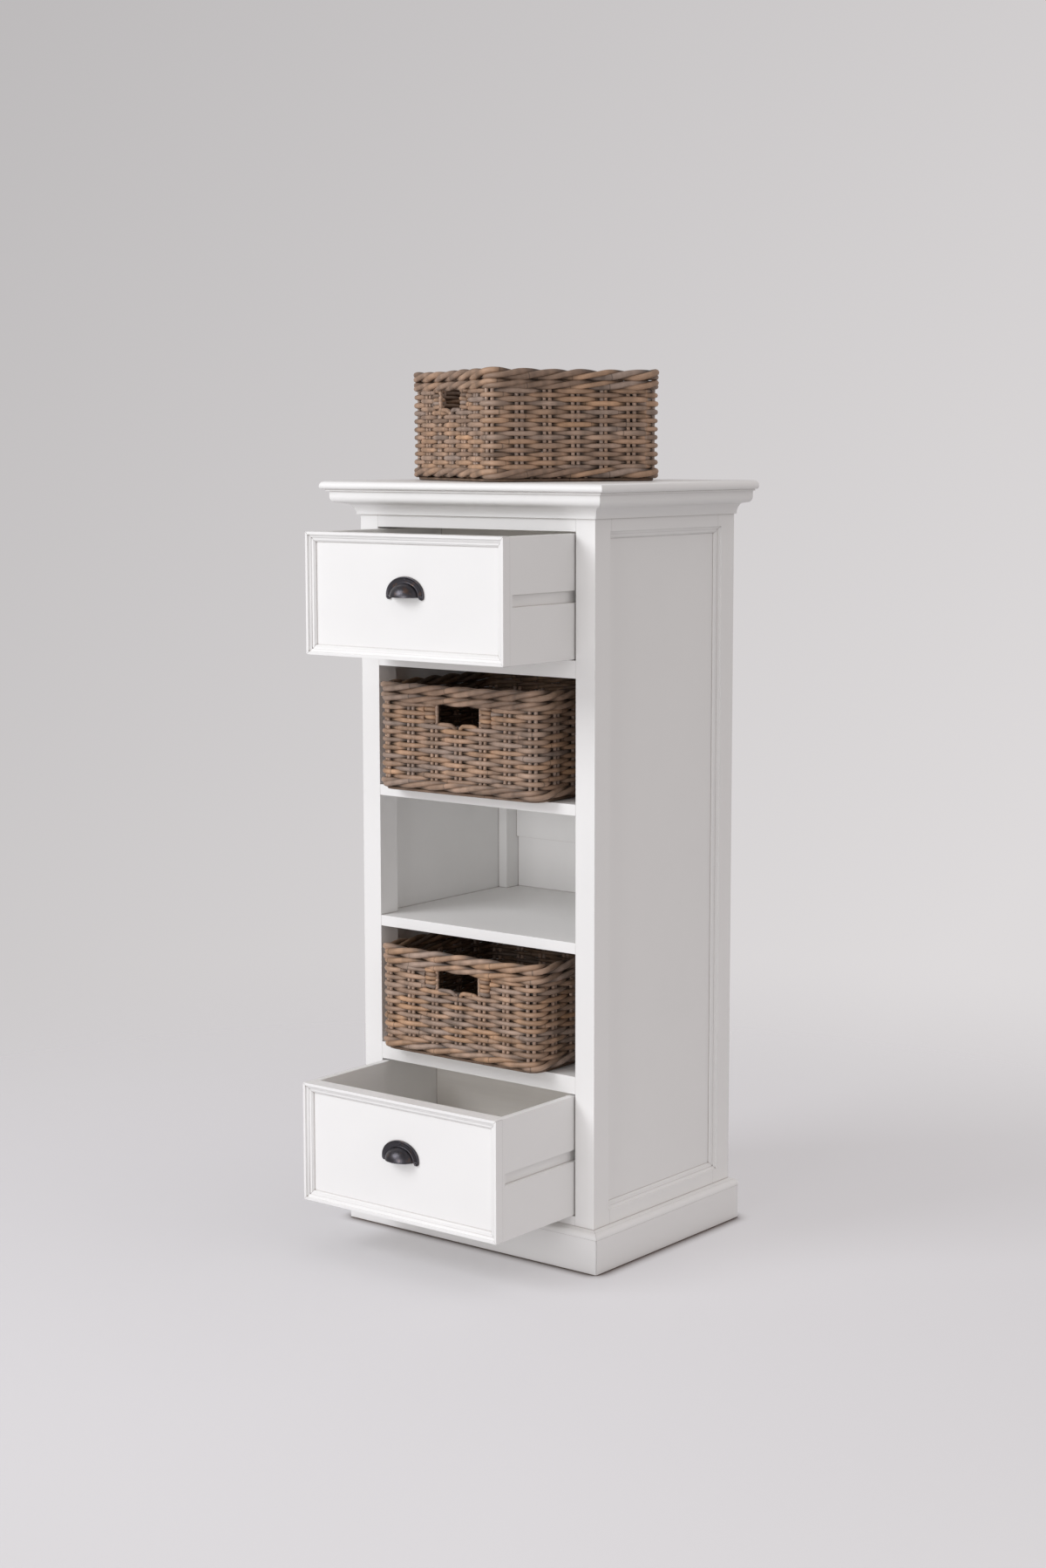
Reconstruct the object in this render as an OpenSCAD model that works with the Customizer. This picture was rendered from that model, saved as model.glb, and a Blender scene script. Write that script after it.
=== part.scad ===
// Basket storage unit: a tall painted cabinet with two drawers, two basket bays and an open bay,
// three woven baskets, two in their bays and one standing turned on the top board.
// Millimetres. X runs to the right, Y to the back and Z up. The origin is on the floor under the
// middle of the front plinth board, so the fronts of the posts stand half a board behind it.

/* [Carcass] */
// Width over the corner posts
body_w = 483; // [450:1:560]
// Depth from the front of the posts to the back of the posts
body_d = 385; // [370:1:460]
// Height of the plinth boards
plinth_h = 56.5; // [40:0.5:90]
// Thickness of the plinth boards
plinth_t = 20; // [16:0.5:28]
// Height of the moulding that sits on the plinth
base_mould_h = 9.5; // [9:0.5:14]
// Reach of the plinth moulding's round edge
base_mould_r = 8; // [5:0.5:8]
// Height of the square foot under that edge
base_mould_foot = 0.8; // [0.2:0.1:0.8]
// Width of the step over that edge
base_mould_step = 1; // [0.5:0.1:2]
// Fall of the moulding's flat top, for water to run off
base_mould_fall = 0.2; // [0.1:0.1:0.2]
// Bottom rail that shows above the plinth moulding
bottom_reveal = 16; // [8:0.5:30]
// Clear height of each drawer opening
drawer_bay_h = 200; // [160:1:240]
// Clear height of each basket opening
basket_bay_h = 198.5; // [190:0.5:240]
// Clear height of the open middle bay
middle_bay_h = 203; // [190:1:280]
// Top rail that shows below the crown
top_reveal = 20; // [10:0.5:40]
// Height at which the rails behind the plinth begin
rail_foot = 20; // [5:1:35]

/* [Frames and boards] */
// Width of each corner post, seen from the front
post_w = 37.4; // [32:0.2:44]
// Depth of the front posts
post_front_d = 43; // [40:1:55]
// Depth of the rear posts
post_rear_d = 47; // [44:1:60]
// Part of a front post that shows flat on the side
stile_front_w = 39.5; // [30:0.5:39.5]
// Part of a rear post that shows flat on the side
stile_rear_w = 37; // [30:0.5:40]
// Thickness of the front rails
rail_t = 22; // [16:0.5:28]
// Height of the two rails between drawers and baskets
rail_h = 28.5; // [20:0.5:40]
// Thickness of the two shelves
shelf_t = 18; // [14:0.5:25]
// Thickness of the two divider boards and of the bottom board
divider_t = 16; // [12:0.5:20]
// Thickness of the side rails
side_rail_t = 20; // [18:0.5:24]
// Side bottom rail that shows above the plinth moulding
side_reveal = 24; // [10:0.5:40]
// Thickness of the side panels
side_panel_t = 9; // [6:0.5:10]
// Depth of the side panels below the face of the posts
panel_recess = 10; // [8:0.5:12]
// Width of the sticks round each side panel
panel_stick_w = 11; // [9:0.5:14]
// Gap left in each mitre of the sticks
mitre_gap = 0.2; // [0.1:0.1:0.5]

/* [Back] */
// Thickness of the back rails
back_rail_t = 19; // [16:0.5:24]
// Height of the middle and the top back rail
back_rail_h = 70; // [50:1:100]
// Height of the middle back rail over the lower shelf
back_rail_rise = 90; // [20:1:110]
// Thickness of the two back panels
back_panel_t = 6; // [4:0.5:8]
// Lip of the back frame that the back panels lie against
back_lip_t = 5; // [4:0.5:8]
// Width of that lip
back_lip_w = 10; // [8:0.5:14]
// Clearance of a back panel inside that frame
lip_fit = 0.2; // [0.1:0.1:0.5]

/* [Crown and top] */
// Reach of the crown's foot beyond the posts
crown_foot_out = 5; // [3:0.5:8]
// Height of the crown's foot
crown_foot_h = 3.5; // [2:0.5:6]
// Reach of the crown's cove
crown_cove_out = 8.5; // [6:0.5:12]
// Height of the crown's cove
crown_cove_h = 13.5; // [10:0.5:18]
// Hollow of the crown's cove
crown_cove_hollow = 1.6; // [0.5:0.1:3]
// Reach of the ledge between the cove and the round
crown_ledge_out = 13; // [8:0.5:18]
// Slope of that ledge over its reach
crown_ledge_h = 2; // [1:0.5:4]
// Radius of the crown's round
crown_round_r = 10; // [7:0.5:13]
// Height of the plain band over the round
crown_band_h = 9; // [5:0.5:14]
// Reach of the thin lip under the top board
crown_lip_out = 4.5; // [2:0.5:7]
// Height of that lip
crown_lip_h = 3; // [2:0.5:5]
// Reach of the top board beyond the crown
slab_lip = 7.5; // [4:0.5:12]
// Upper radius of the top board's edge
slab_upper_r = 9; // [7:0.5:11]
// Lower radius of the top board's edge
slab_lower_r = 5; // [3:0.5:7]

/* [Drawers] */
// Gap between a drawer and the posts on each side
drawer_side_gap = 2.3; // [1:0.1:3]
// Gap under each drawer
drawer_lower_gap = 1.5; // [1:0.5:4]
// Gap over each drawer
drawer_upper_gap = 3; // [1:0.5:5]
// Length of each drawer, front face to back face
drawer_len = 336; // [300:1:340]
// Distance that the upper drawer stands out
upper_drawer_out = 178; // [0:1:240]
// Distance that the lower drawer stands out
lower_drawer_out = 199; // [0:1:240]
// Thickness of a drawer's moulded front
front_t = 16.5; // [15:0.5:20]
// Flat rim round a drawer's front
front_rim_w = 4.5; // [3:0.5:8]
// Width of the moulding inside that rim
front_stick_w = 11.5; // [9:0.5:16]
// Width of the sticks behind a drawer's front panel
front_rebate_w = 6; // [4:0.5:8]
// Thickness of the boards of a drawer box
box_t = 12; // [10:0.5:15]
// Thickness of a drawer's bottom
drawer_bottom_t = 6; // [4:0.5:8]
// Height of a drawer's bottom over the lower edge of the box
drawer_bottom_rise = 10; // [6:0.5:20]
// Depth of the groove that holds a drawer's bottom
bottom_groove_d = 4; // [2:0.5:4]
// Clearance of a drawer's bottom in that groove
bottom_fit = 0.1; // [0.1:0.1:0.5]
// Height of the runner groove in a drawer's side
groove_h = 18.8; // [14:0.2:24]
// Depth of the runner groove
groove_d = 7; // [5:0.5:7.5]
// Distance from a drawer's face to its runner groove
groove_start = 23; // [20:0.5:30]
// Clearance of a runner in its groove
runner_gap = 0.3; // [0.2:0.1:0.6]
// Gap between the back end of a runner and the back rails
runner_end_gap = 6; // [2:1:15]

/* [Cup pulls] */
// Width of a cup pull over its flange
pull_w = 76; // [64:1:90]
// Height of the flange over the pull's mouth
pull_h = 32; // [30:0.5:40]
// Distance of a pull's mouth below the middle of the drawer
pull_drop = 0; // [-10:0.5:10]
// Width of the cup
cup_w = 56; // [44:1:58]
// Height and reach of the cup
cup_r = 22.5; // [18:0.5:24]
// Wall of the cup
cup_wall = 2; // [1.5:0.1:3]
// Thickness of the flange
flange_t = 2.5; // [2:0.1:4]
// Radius of the round ears at the flange's ends
ear_r = 5; // [4:0.2:5]
// Height of the ears' centres over the mouth
ear_rise = 1; // [0:0.5:3]
// Height of the flange's straight ends over the ears' centres
flange_end_h = 3; // [1:0.5:4]

/* [Fasteners] */
// Diameter of the dowels in the frame
dowel_d = 8; // [6:1:8]
// Length of each dowel
dowel_len = 30; // [20:2:36]
// Shank diameter of the pull screws
pull_screw_d = 2.8; // [2:0.1:3]
// Length of the pull screws in the wood
pull_screw_len = 12; // [8:1:14]
// Head diameter of the pull screws
pull_head_d = 4.5; // [4:0.1:6]
// Height of the pull screws' heads
pull_head_t = 1.2; // [0.8:0.1:2]
// Shank diameter of the wood screws
wood_screw_d = 3.5; // [3:0.1:4]
// Head diameter of the wood screws
wood_screw_head_d = 7; // [6:0.5:8]
// Length of the wood screws under the head
wood_screw_len = 22; // [16:1:26]
// Wood left in front of the points of the back panels' screws
back_screw_skin = 1.5; // [1:0.5:2]
// Height of the heads of the back panels' screws
back_head_t = 1.5; // [1:0.1:2.5]
// Share of a back panel's height from its end to its outer side screws
back_screw_share = 0.15; // [0.08:0.01:0.3]
// Radial clearance of each dowel and screw in its hole
fastener_gap = 0.05; // [0.02:0.01:0.1]

/* [Baskets] */
// Width of a basket along its handle face
basket_w = 334; // [300:1:350]
// Depth of a basket
basket_d = 308; // [280:1:320]
// Height of a basket
basket_h = 177; // [160:1:184]
// Corner radius of a basket
basket_r = 28; // [24:1:40]
// Thickness of the woven wall, from its front canes to its rear canes
basket_wall = 13.5; // [9:0.5:15]
// Number of pairs of stakes round the wall, an even one
stake_pairs = 24; // [16:2:32]
// Distance of the stakes inside the wall's face
stake_inset = 8.3; // [6:0.1:10]
// Depth of the weave's hollows below the bulges of its canes
weave_depth = 5.5; // [3:0.5:6]
// Height of the lowest row of canes
row_low_z = 23; // [20:0.5:30]
// Height from one row of canes to the next
row_pitch = 6.65; // [6:0.05:9]
// Height of a cane's bulge
bulge_h = 7; // [5:0.5:7]
// Gap between the bulges of two neighbouring rows, along the wall
bulge_gap = 1.5; // [1:0.5:6]
// Part of a bulge that is flat, on each side of its middle
bulge_flat = 9; // [4:1:12]
// Height of the foot ring under a basket
foot_h = 5; // [3:0.5:8]
// Distance of the foot ring inside the wall's face
foot_inset = 8; // [4:0.5:12]
// Thickness of the woven bottom
basket_floor_t = 10; // [8:0.5:14]
// Radius of the rolled border at the bottom
low_roll_r = 8; // [6:0.5:10]
// Reach of that border beyond the wall
low_roll_out = 2; // [0:0.5:4]
// Radius of the rolled border at the top
top_roll_r = 9.5; // [8:0.5:11]
// Reach of the top border beyond the wall
top_roll_out = 3; // [0:0.5:5]
// Radius of the twist under the top border
twist_r = 7.5; // [6:0.5:9]
// Reach of that twist beyond the wall
twist_out = 1.5; // [0:0.5:3]
// Height that the top border and the twist share
twist_lap = 2; // [1:0.5:4]
// Height that the twist sinks into the wall
border_lap = 1.5; // [0.5:0.5:3]
// Width of the hand hole
hand_hole_w = 87; // [70:1:110]
// Height of the hand hole
hand_hole_h = 30; // [22:1:40]
// Distance that the upper bay's basket stands out
upper_basket_out = 43; // [0:1:90]
// Place of the upper bay's basket to the left of the middle
upper_basket_left = 9; // [0:1:20]
// Turn of the upper bay's basket
upper_basket_turn = 1.5; // [0:0.5:2]
// Distance that the lower bay's basket stands out
lower_basket_out = 38; // [0:1:90]
// Place of the lower bay's basket to the left of the middle
lower_basket_left = 13; // [0:1:20]
// Turn of the lower bay's basket
lower_basket_turn = 0.5; // [0:0.5:2]
// Place of the top basket to the left of the middle
top_basket_left = 12; // [-20:1:40]
// Distance of the top basket's middle behind the front of the posts
top_basket_back = 172; // [160:1:180]
// Turn of the top basket
top_basket_turn = -27.5; // [-45:0.5:0]
// Clearance between a basket and the board that it stands on
seat_gap = 0.3; // [0.2:0.1:0.5]

/* [Hidden] */
$fn = 48;
eps = 1;

WHITE = "#f1efec";
BRONZE = "#2f2b29";
STEEL = "#9a9a98";
BEECH = "#d9b98a";
RATTAN = "#8d7562";

// Levels from the floor up
z_mould = plinth_h + base_mould_h;
z_floor = z_mould + bottom_reveal;
z_rail_lower = z_floor + drawer_bay_h;
z_bay_lower = z_rail_lower + rail_h;
z_shelf_lower = z_bay_lower + basket_bay_h;
z_bay_middle = z_shelf_lower + shelf_t;
z_shelf_upper = z_bay_middle + middle_bay_h;
z_bay_upper = z_shelf_upper + shelf_t;
z_rail_upper = z_bay_upper + basket_bay_h;
z_drawer_upper = z_rail_upper + rail_h;
z_rail_top = z_drawer_upper + drawer_bay_h;
z_crown = z_rail_top + top_reveal;
crown_h = crown_foot_h + crown_cove_h + crown_ledge_h + crown_round_r + crown_band_h + crown_lip_h;
crown_out = crown_foot_out + crown_cove_out + crown_ledge_out + crown_round_r + crown_lip_out;
slab_t = slab_upper_r + slab_lower_r;
z_slab = z_crown + crown_h;
z_top = z_slab + slab_t;

// Places across the width and the depth, from the middle and from the front of the posts
x_body = body_w / 2;
x_open = x_body - post_w;
x_panel = x_body - panel_recess - side_panel_t;
x_side_rail = x_body - side_rail_t;
x_slab = x_body + crown_out + slab_lip;
y_front_post = post_front_d;
y_rear_post = body_d - post_rear_d;
y_back_rail = body_d - back_rail_t;
y_back_panel = y_back_rail + back_lip_t;
front_shift = plinth_t / 2;
z_side_low = z_mould + side_reveal;
z_side_high = z_rail_top;

// Levels of the back frame
z_back_middle = z_bay_middle + back_rail_rise;
z_back_top = z_slab - back_rail_h;

// Sizes of the drawers
drawer_w = 2 * (x_open - drawer_side_gap);
drawer_h = drawer_bay_h - drawer_lower_gap - drawer_upper_gap;
groove_mid = drawer_h / 2;
x_groove = drawer_w / 2 - groove_d;
runner_start = groove_start + 2 * runner_gap;
runner_h = groove_h - 2 * runner_gap;
runner_t = x_open - x_groove - 2 * runner_gap;
runner_end = y_back_rail - runner_end_gap;
z_lower_drawer = z_floor + drawer_lower_gap;
z_upper_drawer = z_drawer_upper + drawer_lower_gap;

// Sizes of the pulls and their screws
pull_mid_w = pull_w / 2;
ear_x = pull_mid_w - ear_r;
top_screw_z = (pull_h + cup_r) / 2;
pull_screw_r = pull_screw_d / 2;
pull_head_r = pull_head_d / 2;
wood_screw_r = wood_screw_d / 2;
wood_head_r = wood_screw_head_d / 2;
wood_head_t = wood_head_r - wood_screw_r;

// Sizes of a basket
roll_low_z = foot_h + low_roll_r;
basket_floor_top = foot_h + basket_floor_t;
roll_top_z = basket_h - top_roll_r;
twist_z = roll_top_z - top_roll_r - twist_r + twist_lap;
border_z = twist_z - twist_r + border_lap;
hand_hole_z = border_z - hand_hole_h;
flat_half_w = basket_w / 2 - basket_r;
flat_half_d = basket_d / 2 - basket_r;
stake_r = basket_r - stake_inset;
quarter = flat_half_w + flat_half_d + stake_r * PI / 2;
stake_step = 4 * quarter / stake_pairs;
bulge_half = (stake_step - bulge_gap) / 2;
weave_rows = floor((border_z - row_low_z - bulge_h / 2) / row_pitch) + 1;

// Points of an arc, from one angle to another
function arc(cx, cy, rx, ry, from, to, steps) =
  [for (i = [0 : steps]) let (a = from + (to - from) * i / steps) [cx + rx * cos(a), cy + ry * sin(a)]];

// Points of a shallow hollow from p to q, as deep as given to the left of that direction
function hollow(p, q, depth, steps) =
  let (run = q - p, side = [-run[1], run[0]] / norm(run))
  [for (i = [0 : steps]) let (t = i / steps) p + t * run + 4 * t * (1 - t) * depth * side];

// The whole cabinet is drawn from the front of its posts
module placed() {
  translate([0, front_shift, 0]) children();
}

// side is 1 for the right and -1 for the left
module on_side(side) {
  if (side > 0) children();
  else mirror([1, 0, 0]) children();
}

// A box between two corners
module block(low, high) {
  translate(low) cube([for (i = [0 : 2]) high[i] - low[i]]);
}

// A profile of reach and height, run along X and mitred at both ends where it turns the corner
module run_front(profile, out, height) {
  intersection() {
    translate([-x_body - out, 0, 0]) rotate([90, 0, 90]) linear_extrude(2 * (x_body + out))
      mirror([1, 0]) polygon(profile);
    linear_extrude(height) polygon([
      [-x_body - out + mitre_gap, -out], [x_body + out - mitre_gap, -out],
      [x_body - mitre_gap, 0], [-x_body + mitre_gap, 0]
    ]);
  }
}

// The same profile, run along the right side to the back and mitred at the front
module run_side(profile, out, height) {
  intersection() {
    translate([x_body, body_d, 0]) rotate([90, 0, 0]) linear_extrude(body_d + out) polygon(profile);
    linear_extrude(height) polygon([
      [x_body, mitre_gap], [x_body + out, -out + mitre_gap], [x_body + out, body_d], [x_body, body_d]
    ]);
  }
}

// Plinth
plinth_profile = [[0, 0], [plinth_t, 0], [plinth_t, plinth_h], [0, plinth_h]];

module plinth_front() {
  color(WHITE) placed() run_front(plinth_profile, plinth_t, plinth_h);
}

module plinth_side(side) {
  color(WHITE) placed() on_side(side) run_side(plinth_profile, plinth_t, plinth_h);
}

module plinth_back() {
  color(WHITE) placed() block([-x_open, y_back_rail, 0], [x_open, body_d, rail_foot]);
}

// Moulding on the plinth: a flat top that falls to a round edge
base_edge = plinth_t - base_mould_r;
base_mould_profile = concat(
  [[0, 0], [plinth_t, 0]],
  arc(base_edge, base_mould_foot, base_mould_r, base_mould_r, 0, 90, 8),
  [[base_edge - base_mould_step, base_mould_r + base_mould_foot],
   [base_edge - base_mould_step, base_mould_h - base_mould_fall], [0, base_mould_h]]
);

module base_moulding_front() {
  color(WHITE) placed() translate([0, 0, plinth_h]) run_front(base_mould_profile, plinth_t, base_mould_h);
}

module base_moulding_side(side) {
  color(WHITE) placed() translate([0, 0, plinth_h]) on_side(side)
    run_side(base_mould_profile, plinth_t, base_mould_h);
}

// Dowels that join every rail, shelf and divider to the posts: [level, place in the depth]
shelf_rear_y = (y_rear_post + y_back_rail) / 2;
dowel_places = concat(
  [for (z = [rail_foot + (z_floor - rail_foot) / 2, z_rail_lower + rail_h / 2,
             z_rail_upper + rail_h / 2, z_rail_top + (z_slab - z_rail_top) / 2])
    [z, rail_t / 2]],
  [for (z = [z_shelf_lower + shelf_t / 2, z_shelf_upper + shelf_t / 2], y = [post_front_d / 2, shelf_rear_y])
    [z, y]],
  [for (z = [z_bay_lower - divider_t / 2, z_drawer_upper - divider_t / 2]) [z, shelf_rear_y]]
);

module dowels(gap) {
  for (p = dowel_places, side = [-1, 1])
    translate([side * x_open, p[1], p[0]]) rotate([0, 90, 0])
      cylinder(r = dowel_d / 2 + gap, h = dowel_len + 2 * gap, center = true);
}

module frame_dowels() {
  color(BEECH) placed() dowels(0);
}

// Runner screws go through the runners into the posts: [level, place in the depth]
runner_screw_places = [
  for (z = [z_lower_drawer + groove_mid, z_upper_drawer + groove_mid],
       y = [(runner_start + post_front_d) / 2, (y_rear_post + runner_end) / 2])
    [z, y]
];

module countersunk_screw(len, gap) {
  cylinder(r = wood_screw_r + gap, h = len + gap);
  cylinder(r1 = wood_head_r + gap, r2 = wood_screw_r + gap, h = wood_head_t);
}

module runner_screws(gap) {
  for (p = runner_screw_places, side = [-1, 1])
    on_side(side) translate([x_open - runner_t, p[1], p[0]]) rotate([0, 90, 0])
      countersunk_screw(wood_screw_len, gap);
}

// Back screws hold the two back panels to the lip of the back frame: [place across, level]
back_screw_x = x_open + back_lip_w / 2;
back_fields = [[z_floor, z_back_middle], [z_back_middle + back_rail_h, z_back_top]];
back_screw_places = concat(
  [for (f = back_fields, t = [back_screw_share, 0.5, 1 - back_screw_share], side = [-1, 1])
    [side * back_screw_x, f[0] + t * (f[1] - f[0])]],
  [for (f = back_fields, z = [f[0] - back_lip_w / 2, f[1] + back_lip_w / 2], side = [-1, 1])
    [side * x_open / 2, z]]
);

module back_screws(gap) {
  for (p = back_screw_places)
    translate([p[0], y_back_panel + back_panel_t, p[1]]) rotate([90, 0, 0])
      cylinder(r = pull_screw_r + gap, h = back_panel_t + back_lip_t - back_screw_skin + gap);
}

module frame_screws() {
  color(STEEL) placed() {
    runner_screws(0);
    back_screws(0);
    for (p = back_screw_places)
      translate([p[0], y_back_panel + back_panel_t + back_head_t, p[1]]) rotate([90, 0, 0])
        cylinder(r1 = pull_screw_r, r2 = 2 * pull_screw_r, h = back_head_t);
  }
}

// Posts, cut back for the sticks round the side panel and, at the rear, for the back panels
module front_post(side) {
  color(WHITE) placed() difference() {
    on_side(side) difference() {
      block([x_open, 0, 0], [x_body, post_front_d, z_slab]);
      block([x_body - panel_recess, stile_front_w, z_side_low],
            [x_body + eps, post_front_d + eps, z_side_high]);
    }
    dowels(fastener_gap);
    runner_screws(fastener_gap);
  }
}

module rear_post(side) {
  color(WHITE) placed() difference() {
    on_side(side) difference() {
      block([x_open, y_rear_post, 0], [x_body, body_d, z_slab]);
      block([x_body - panel_recess, y_rear_post - eps, z_side_low],
            [x_body + eps, body_d - stile_rear_w, z_side_high]);
      block([x_open - eps, y_back_panel, z_floor - back_lip_w],
            [x_open + back_lip_w, body_d + eps, z_back_top + back_lip_w]);
    }
    dowels(fastener_gap);
    runner_screws(fastener_gap);
    back_screws(fastener_gap);
  }
}

// Top and bottom rail of a side, between the posts
module side_rails(side) {
  color(WHITE) placed() on_side(side) {
    block([x_side_rail, y_front_post, rail_foot], [x_body, y_rear_post, z_side_low]);
    block([x_side_rail, y_front_post, z_side_high], [x_body, y_rear_post, z_slab]);
  }
}

module side_panel(side) {
  color(WHITE) placed() on_side(side)
    block([x_panel, y_front_post, z_side_low], [x_body - panel_recess, y_rear_post, z_side_high]);
}

// Profile shared by the sticks of the side panels and of the drawer fronts: a small step, a cove,
// a second step, a bead and a last round down to the panel. Reach from the edge, depth from the face.
function stick_profile(w, depth) =
  let (step = 0.15 * depth, cove_w = 0.39 * w, cove_h = 0.25 * depth, ledge = 2 * step + cove_h,
       round_w = 0.26 * w, round_h = 0.4 * depth)
  concat(
    [[0, -step]],
    arc(cove_w, -step, cove_w, cove_h, 180, 270, 5),
    [[cove_w, -ledge], [w - round_w, -ledge]],
    arc(w - round_w, -depth, round_w, round_h, 90, 0, 5)
  );

// One stick along X with its outer edge on the X axis, mitred at both ends
module stick(len, w, top, bottom, profile) {
  intersection() {
    rotate([90, 0, 90]) linear_extrude(len) polygon(profile);
    translate([0, 0, bottom]) linear_extrude(top - bottom)
      polygon([[mitre_gap, 0], [len - mitre_gap, 0], [len - w - mitre_gap, w], [w + mitre_gap, w]]);
  }
}

// Four sticks round a field of len by height, faces towards +Z
module stick_frame(len, height, w, top, bottom, profile) {
  stick(len, w, top, bottom, profile);
  translate([len, height, 0]) rotate(180) stick(len, w, top, bottom, profile);
  translate([0, height, 0]) rotate(-90) stick(height, w, top, bottom, profile);
  translate([len, 0, 0]) rotate(90) stick(height, w, top, bottom, profile);
}

module panel_moulding(side) {
  len = body_d - stile_front_w - stile_rear_w;
  height = z_side_high - z_side_low;
  profile = concat([[0, -panel_recess]], stick_profile(panel_stick_w, panel_recess));
  color(WHITE) placed() on_side(side)
    translate([x_body, stile_front_w, z_side_low]) rotate([90, 0, 90])
      stick_frame(len, height, panel_stick_w, 0, -panel_recess, profile);
}

// Front rails, with their dowel holes
module rail(low, high) {
  color(WHITE) placed() difference() {
    block([-x_open, 0, low], [x_open, rail_t, high]);
    dowels(fastener_gap);
  }
}

// A board that fills the width between the side panels and is notched round the posts
module board(low, high, front, back, reach) {
  color(WHITE) placed() difference() {
    union() {
      block([-x_open, front, low], [x_open, back, high]);
      block([-reach, y_front_post, low], [reach, y_rear_post, high]);
    }
    dowels(fastener_gap);
  }
}

// Back frame and its panels
module back_rails() {
  color(WHITE) placed() difference() {
    union() {
      block([-x_open, y_back_rail, rail_foot], [x_open, body_d, z_floor]);
      block([-x_open, y_back_rail, z_back_middle], [x_open, body_d, z_back_middle + back_rail_h]);
      block([-x_open, y_back_rail, z_back_top], [x_open, body_d, z_slab]);
    }
    for (f = back_fields)
      block([-x_open - eps, y_back_panel, f[0] - back_lip_w], [x_open + eps, body_d + eps, f[1] + back_lip_w]);
    back_screws(fastener_gap);
  }
}

module back_panels() {
  color(WHITE) placed() difference() {
    for (f = back_fields)
      block([-x_open - back_lip_w + lip_fit, y_back_panel, f[0] - back_lip_w + lip_fit],
            [x_open + back_lip_w - lip_fit, y_back_panel + back_panel_t, f[1] + back_lip_w - lip_fit]);
    back_screws(fastener_gap);
  }
}

// Crown: a foot, a cove, a ledge, a round, a plain band and a thin lip, from the posts outwards
cove_end = crown_foot_out + crown_cove_out;
round_out = crown_out - crown_lip_out;
cove_top = crown_foot_h + crown_cove_h;
round_low = cove_top + crown_ledge_h;
crown_profile = concat(
  [[0, 0], [crown_foot_out, 0]],
  hollow([crown_foot_out, crown_foot_h], [cove_end, cove_top], crown_cove_hollow, 8),
  arc(round_out - crown_round_r, round_low + crown_round_r, crown_round_r, crown_round_r, -90, 0, 8),
  [[round_out, crown_h - crown_lip_h], [crown_out, crown_h - crown_lip_h], [crown_out, crown_h], [0, crown_h]]
);

module crown_front() {
  color(WHITE) placed() translate([0, 0, z_crown]) run_front(crown_profile, crown_out, crown_h);
}

module crown_side(side) {
  color(WHITE) placed() translate([0, 0, z_crown]) on_side(side) run_side(crown_profile, crown_out, crown_h);
}

// Top board, with a moulded edge on the front and both sides
slab_side_edge = concat(
  arc(x_slab - slab_lower_r, slab_lower_r, slab_lower_r, slab_lower_r, -90, 0, 6),
  arc(x_slab - slab_upper_r, slab_lower_r, slab_upper_r, slab_upper_r, 0, 90, 8)
);
slab_front = crown_out + slab_lip;
slab_front_edge = concat(
  arc(slab_front - slab_lower_r, slab_lower_r, slab_lower_r, slab_lower_r, -90, 0, 6),
  arc(slab_front - slab_upper_r, slab_lower_r, slab_upper_r, slab_upper_r, 0, 90, 8)
);

module top_board() {
  color(WHITE) placed() translate([0, 0, z_slab]) intersection() {
    translate([0, body_d, 0]) rotate([90, 0, 0]) linear_extrude(body_d + slab_front)
      polygon(concat(slab_side_edge, [for (i = [len(slab_side_edge) - 1 : -1 : 0])
        [-slab_side_edge[i][0], slab_side_edge[i][1]]]));
    translate([-x_slab, 0, 0]) rotate([90, 0, 90]) linear_extrude(2 * x_slab)
      polygon(concat([[body_d, 0]], [for (p = slab_front_edge) [-p[0], p[1]]], [[body_d, slab_t]]));
  }
}

// Runners on both sides of a drawer bay, screwed to the posts
module drawer_runners(bottom) {
  mid = bottom + groove_mid;
  color(WHITE) placed() difference() {
    for (side = [-1, 1])
      on_side(side) block([x_open - runner_t, runner_start, mid - runner_h / 2],
                          [x_open, runner_end, mid + runner_h / 2]);
    runner_screws(fastener_gap);
  }
}

// A drawer is drawn closed, with its lower edge at zero, and moved to its place
module drawer_at(out, bottom) {
  translate([0, -out, bottom]) children();
}

// The pull's mouth on the front panel
pull_z = drawer_h / 2 - pull_drop;

module at_pull() {
  translate([0, panel_recess, pull_z]) children();
}

// Holes for the pull's three screws, from the face of the flange into the wood
module pull_screw_shanks(gap) {
  for (p = [[0, top_screw_z], [-ear_x, ear_rise], [ear_x, ear_rise]])
    translate([p[0], -flange_t - gap, p[1]]) rotate([-90, 0, 0])
      cylinder(r = pull_screw_r + gap, h = flange_t + pull_screw_len + 2 * gap);
}

module drawer_front_panel() {
  inset = front_rebate_w;
  color(WHITE) difference() {
    block([-drawer_w / 2 + inset, panel_recess, inset], [drawer_w / 2 - inset, front_t, drawer_h - inset]);
    at_pull() pull_screw_shanks(fastener_gap);
  }
}

module drawer_moulding() {
  total_w = front_rim_w + front_stick_w;
  profile = concat(
    [[front_rebate_w, -front_t], [0, -front_t], [0, 0], [front_rim_w, 0]],
    [for (p = stick_profile(front_stick_w, panel_recess)) [p[0] + front_rim_w, p[1]]],
    [[front_rebate_w, -panel_recess]]
  );
  color(WHITE) translate([-drawer_w / 2, 0, 0]) rotate([90, 0, 0])
    stick_frame(drawer_w, drawer_h, total_w, 0, -front_t, profile);
}

// Bottom of the drawer box, held in a groove all round
module drawer_bottom_plate(fit) {
  x = drawer_w / 2 - box_t + bottom_groove_d - fit;
  y = front_t + box_t - bottom_groove_d + fit;
  block([-x, y, drawer_bottom_rise], [x, drawer_len - box_t + bottom_groove_d - fit,
        drawer_bottom_rise + drawer_bottom_t]);
}

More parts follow.
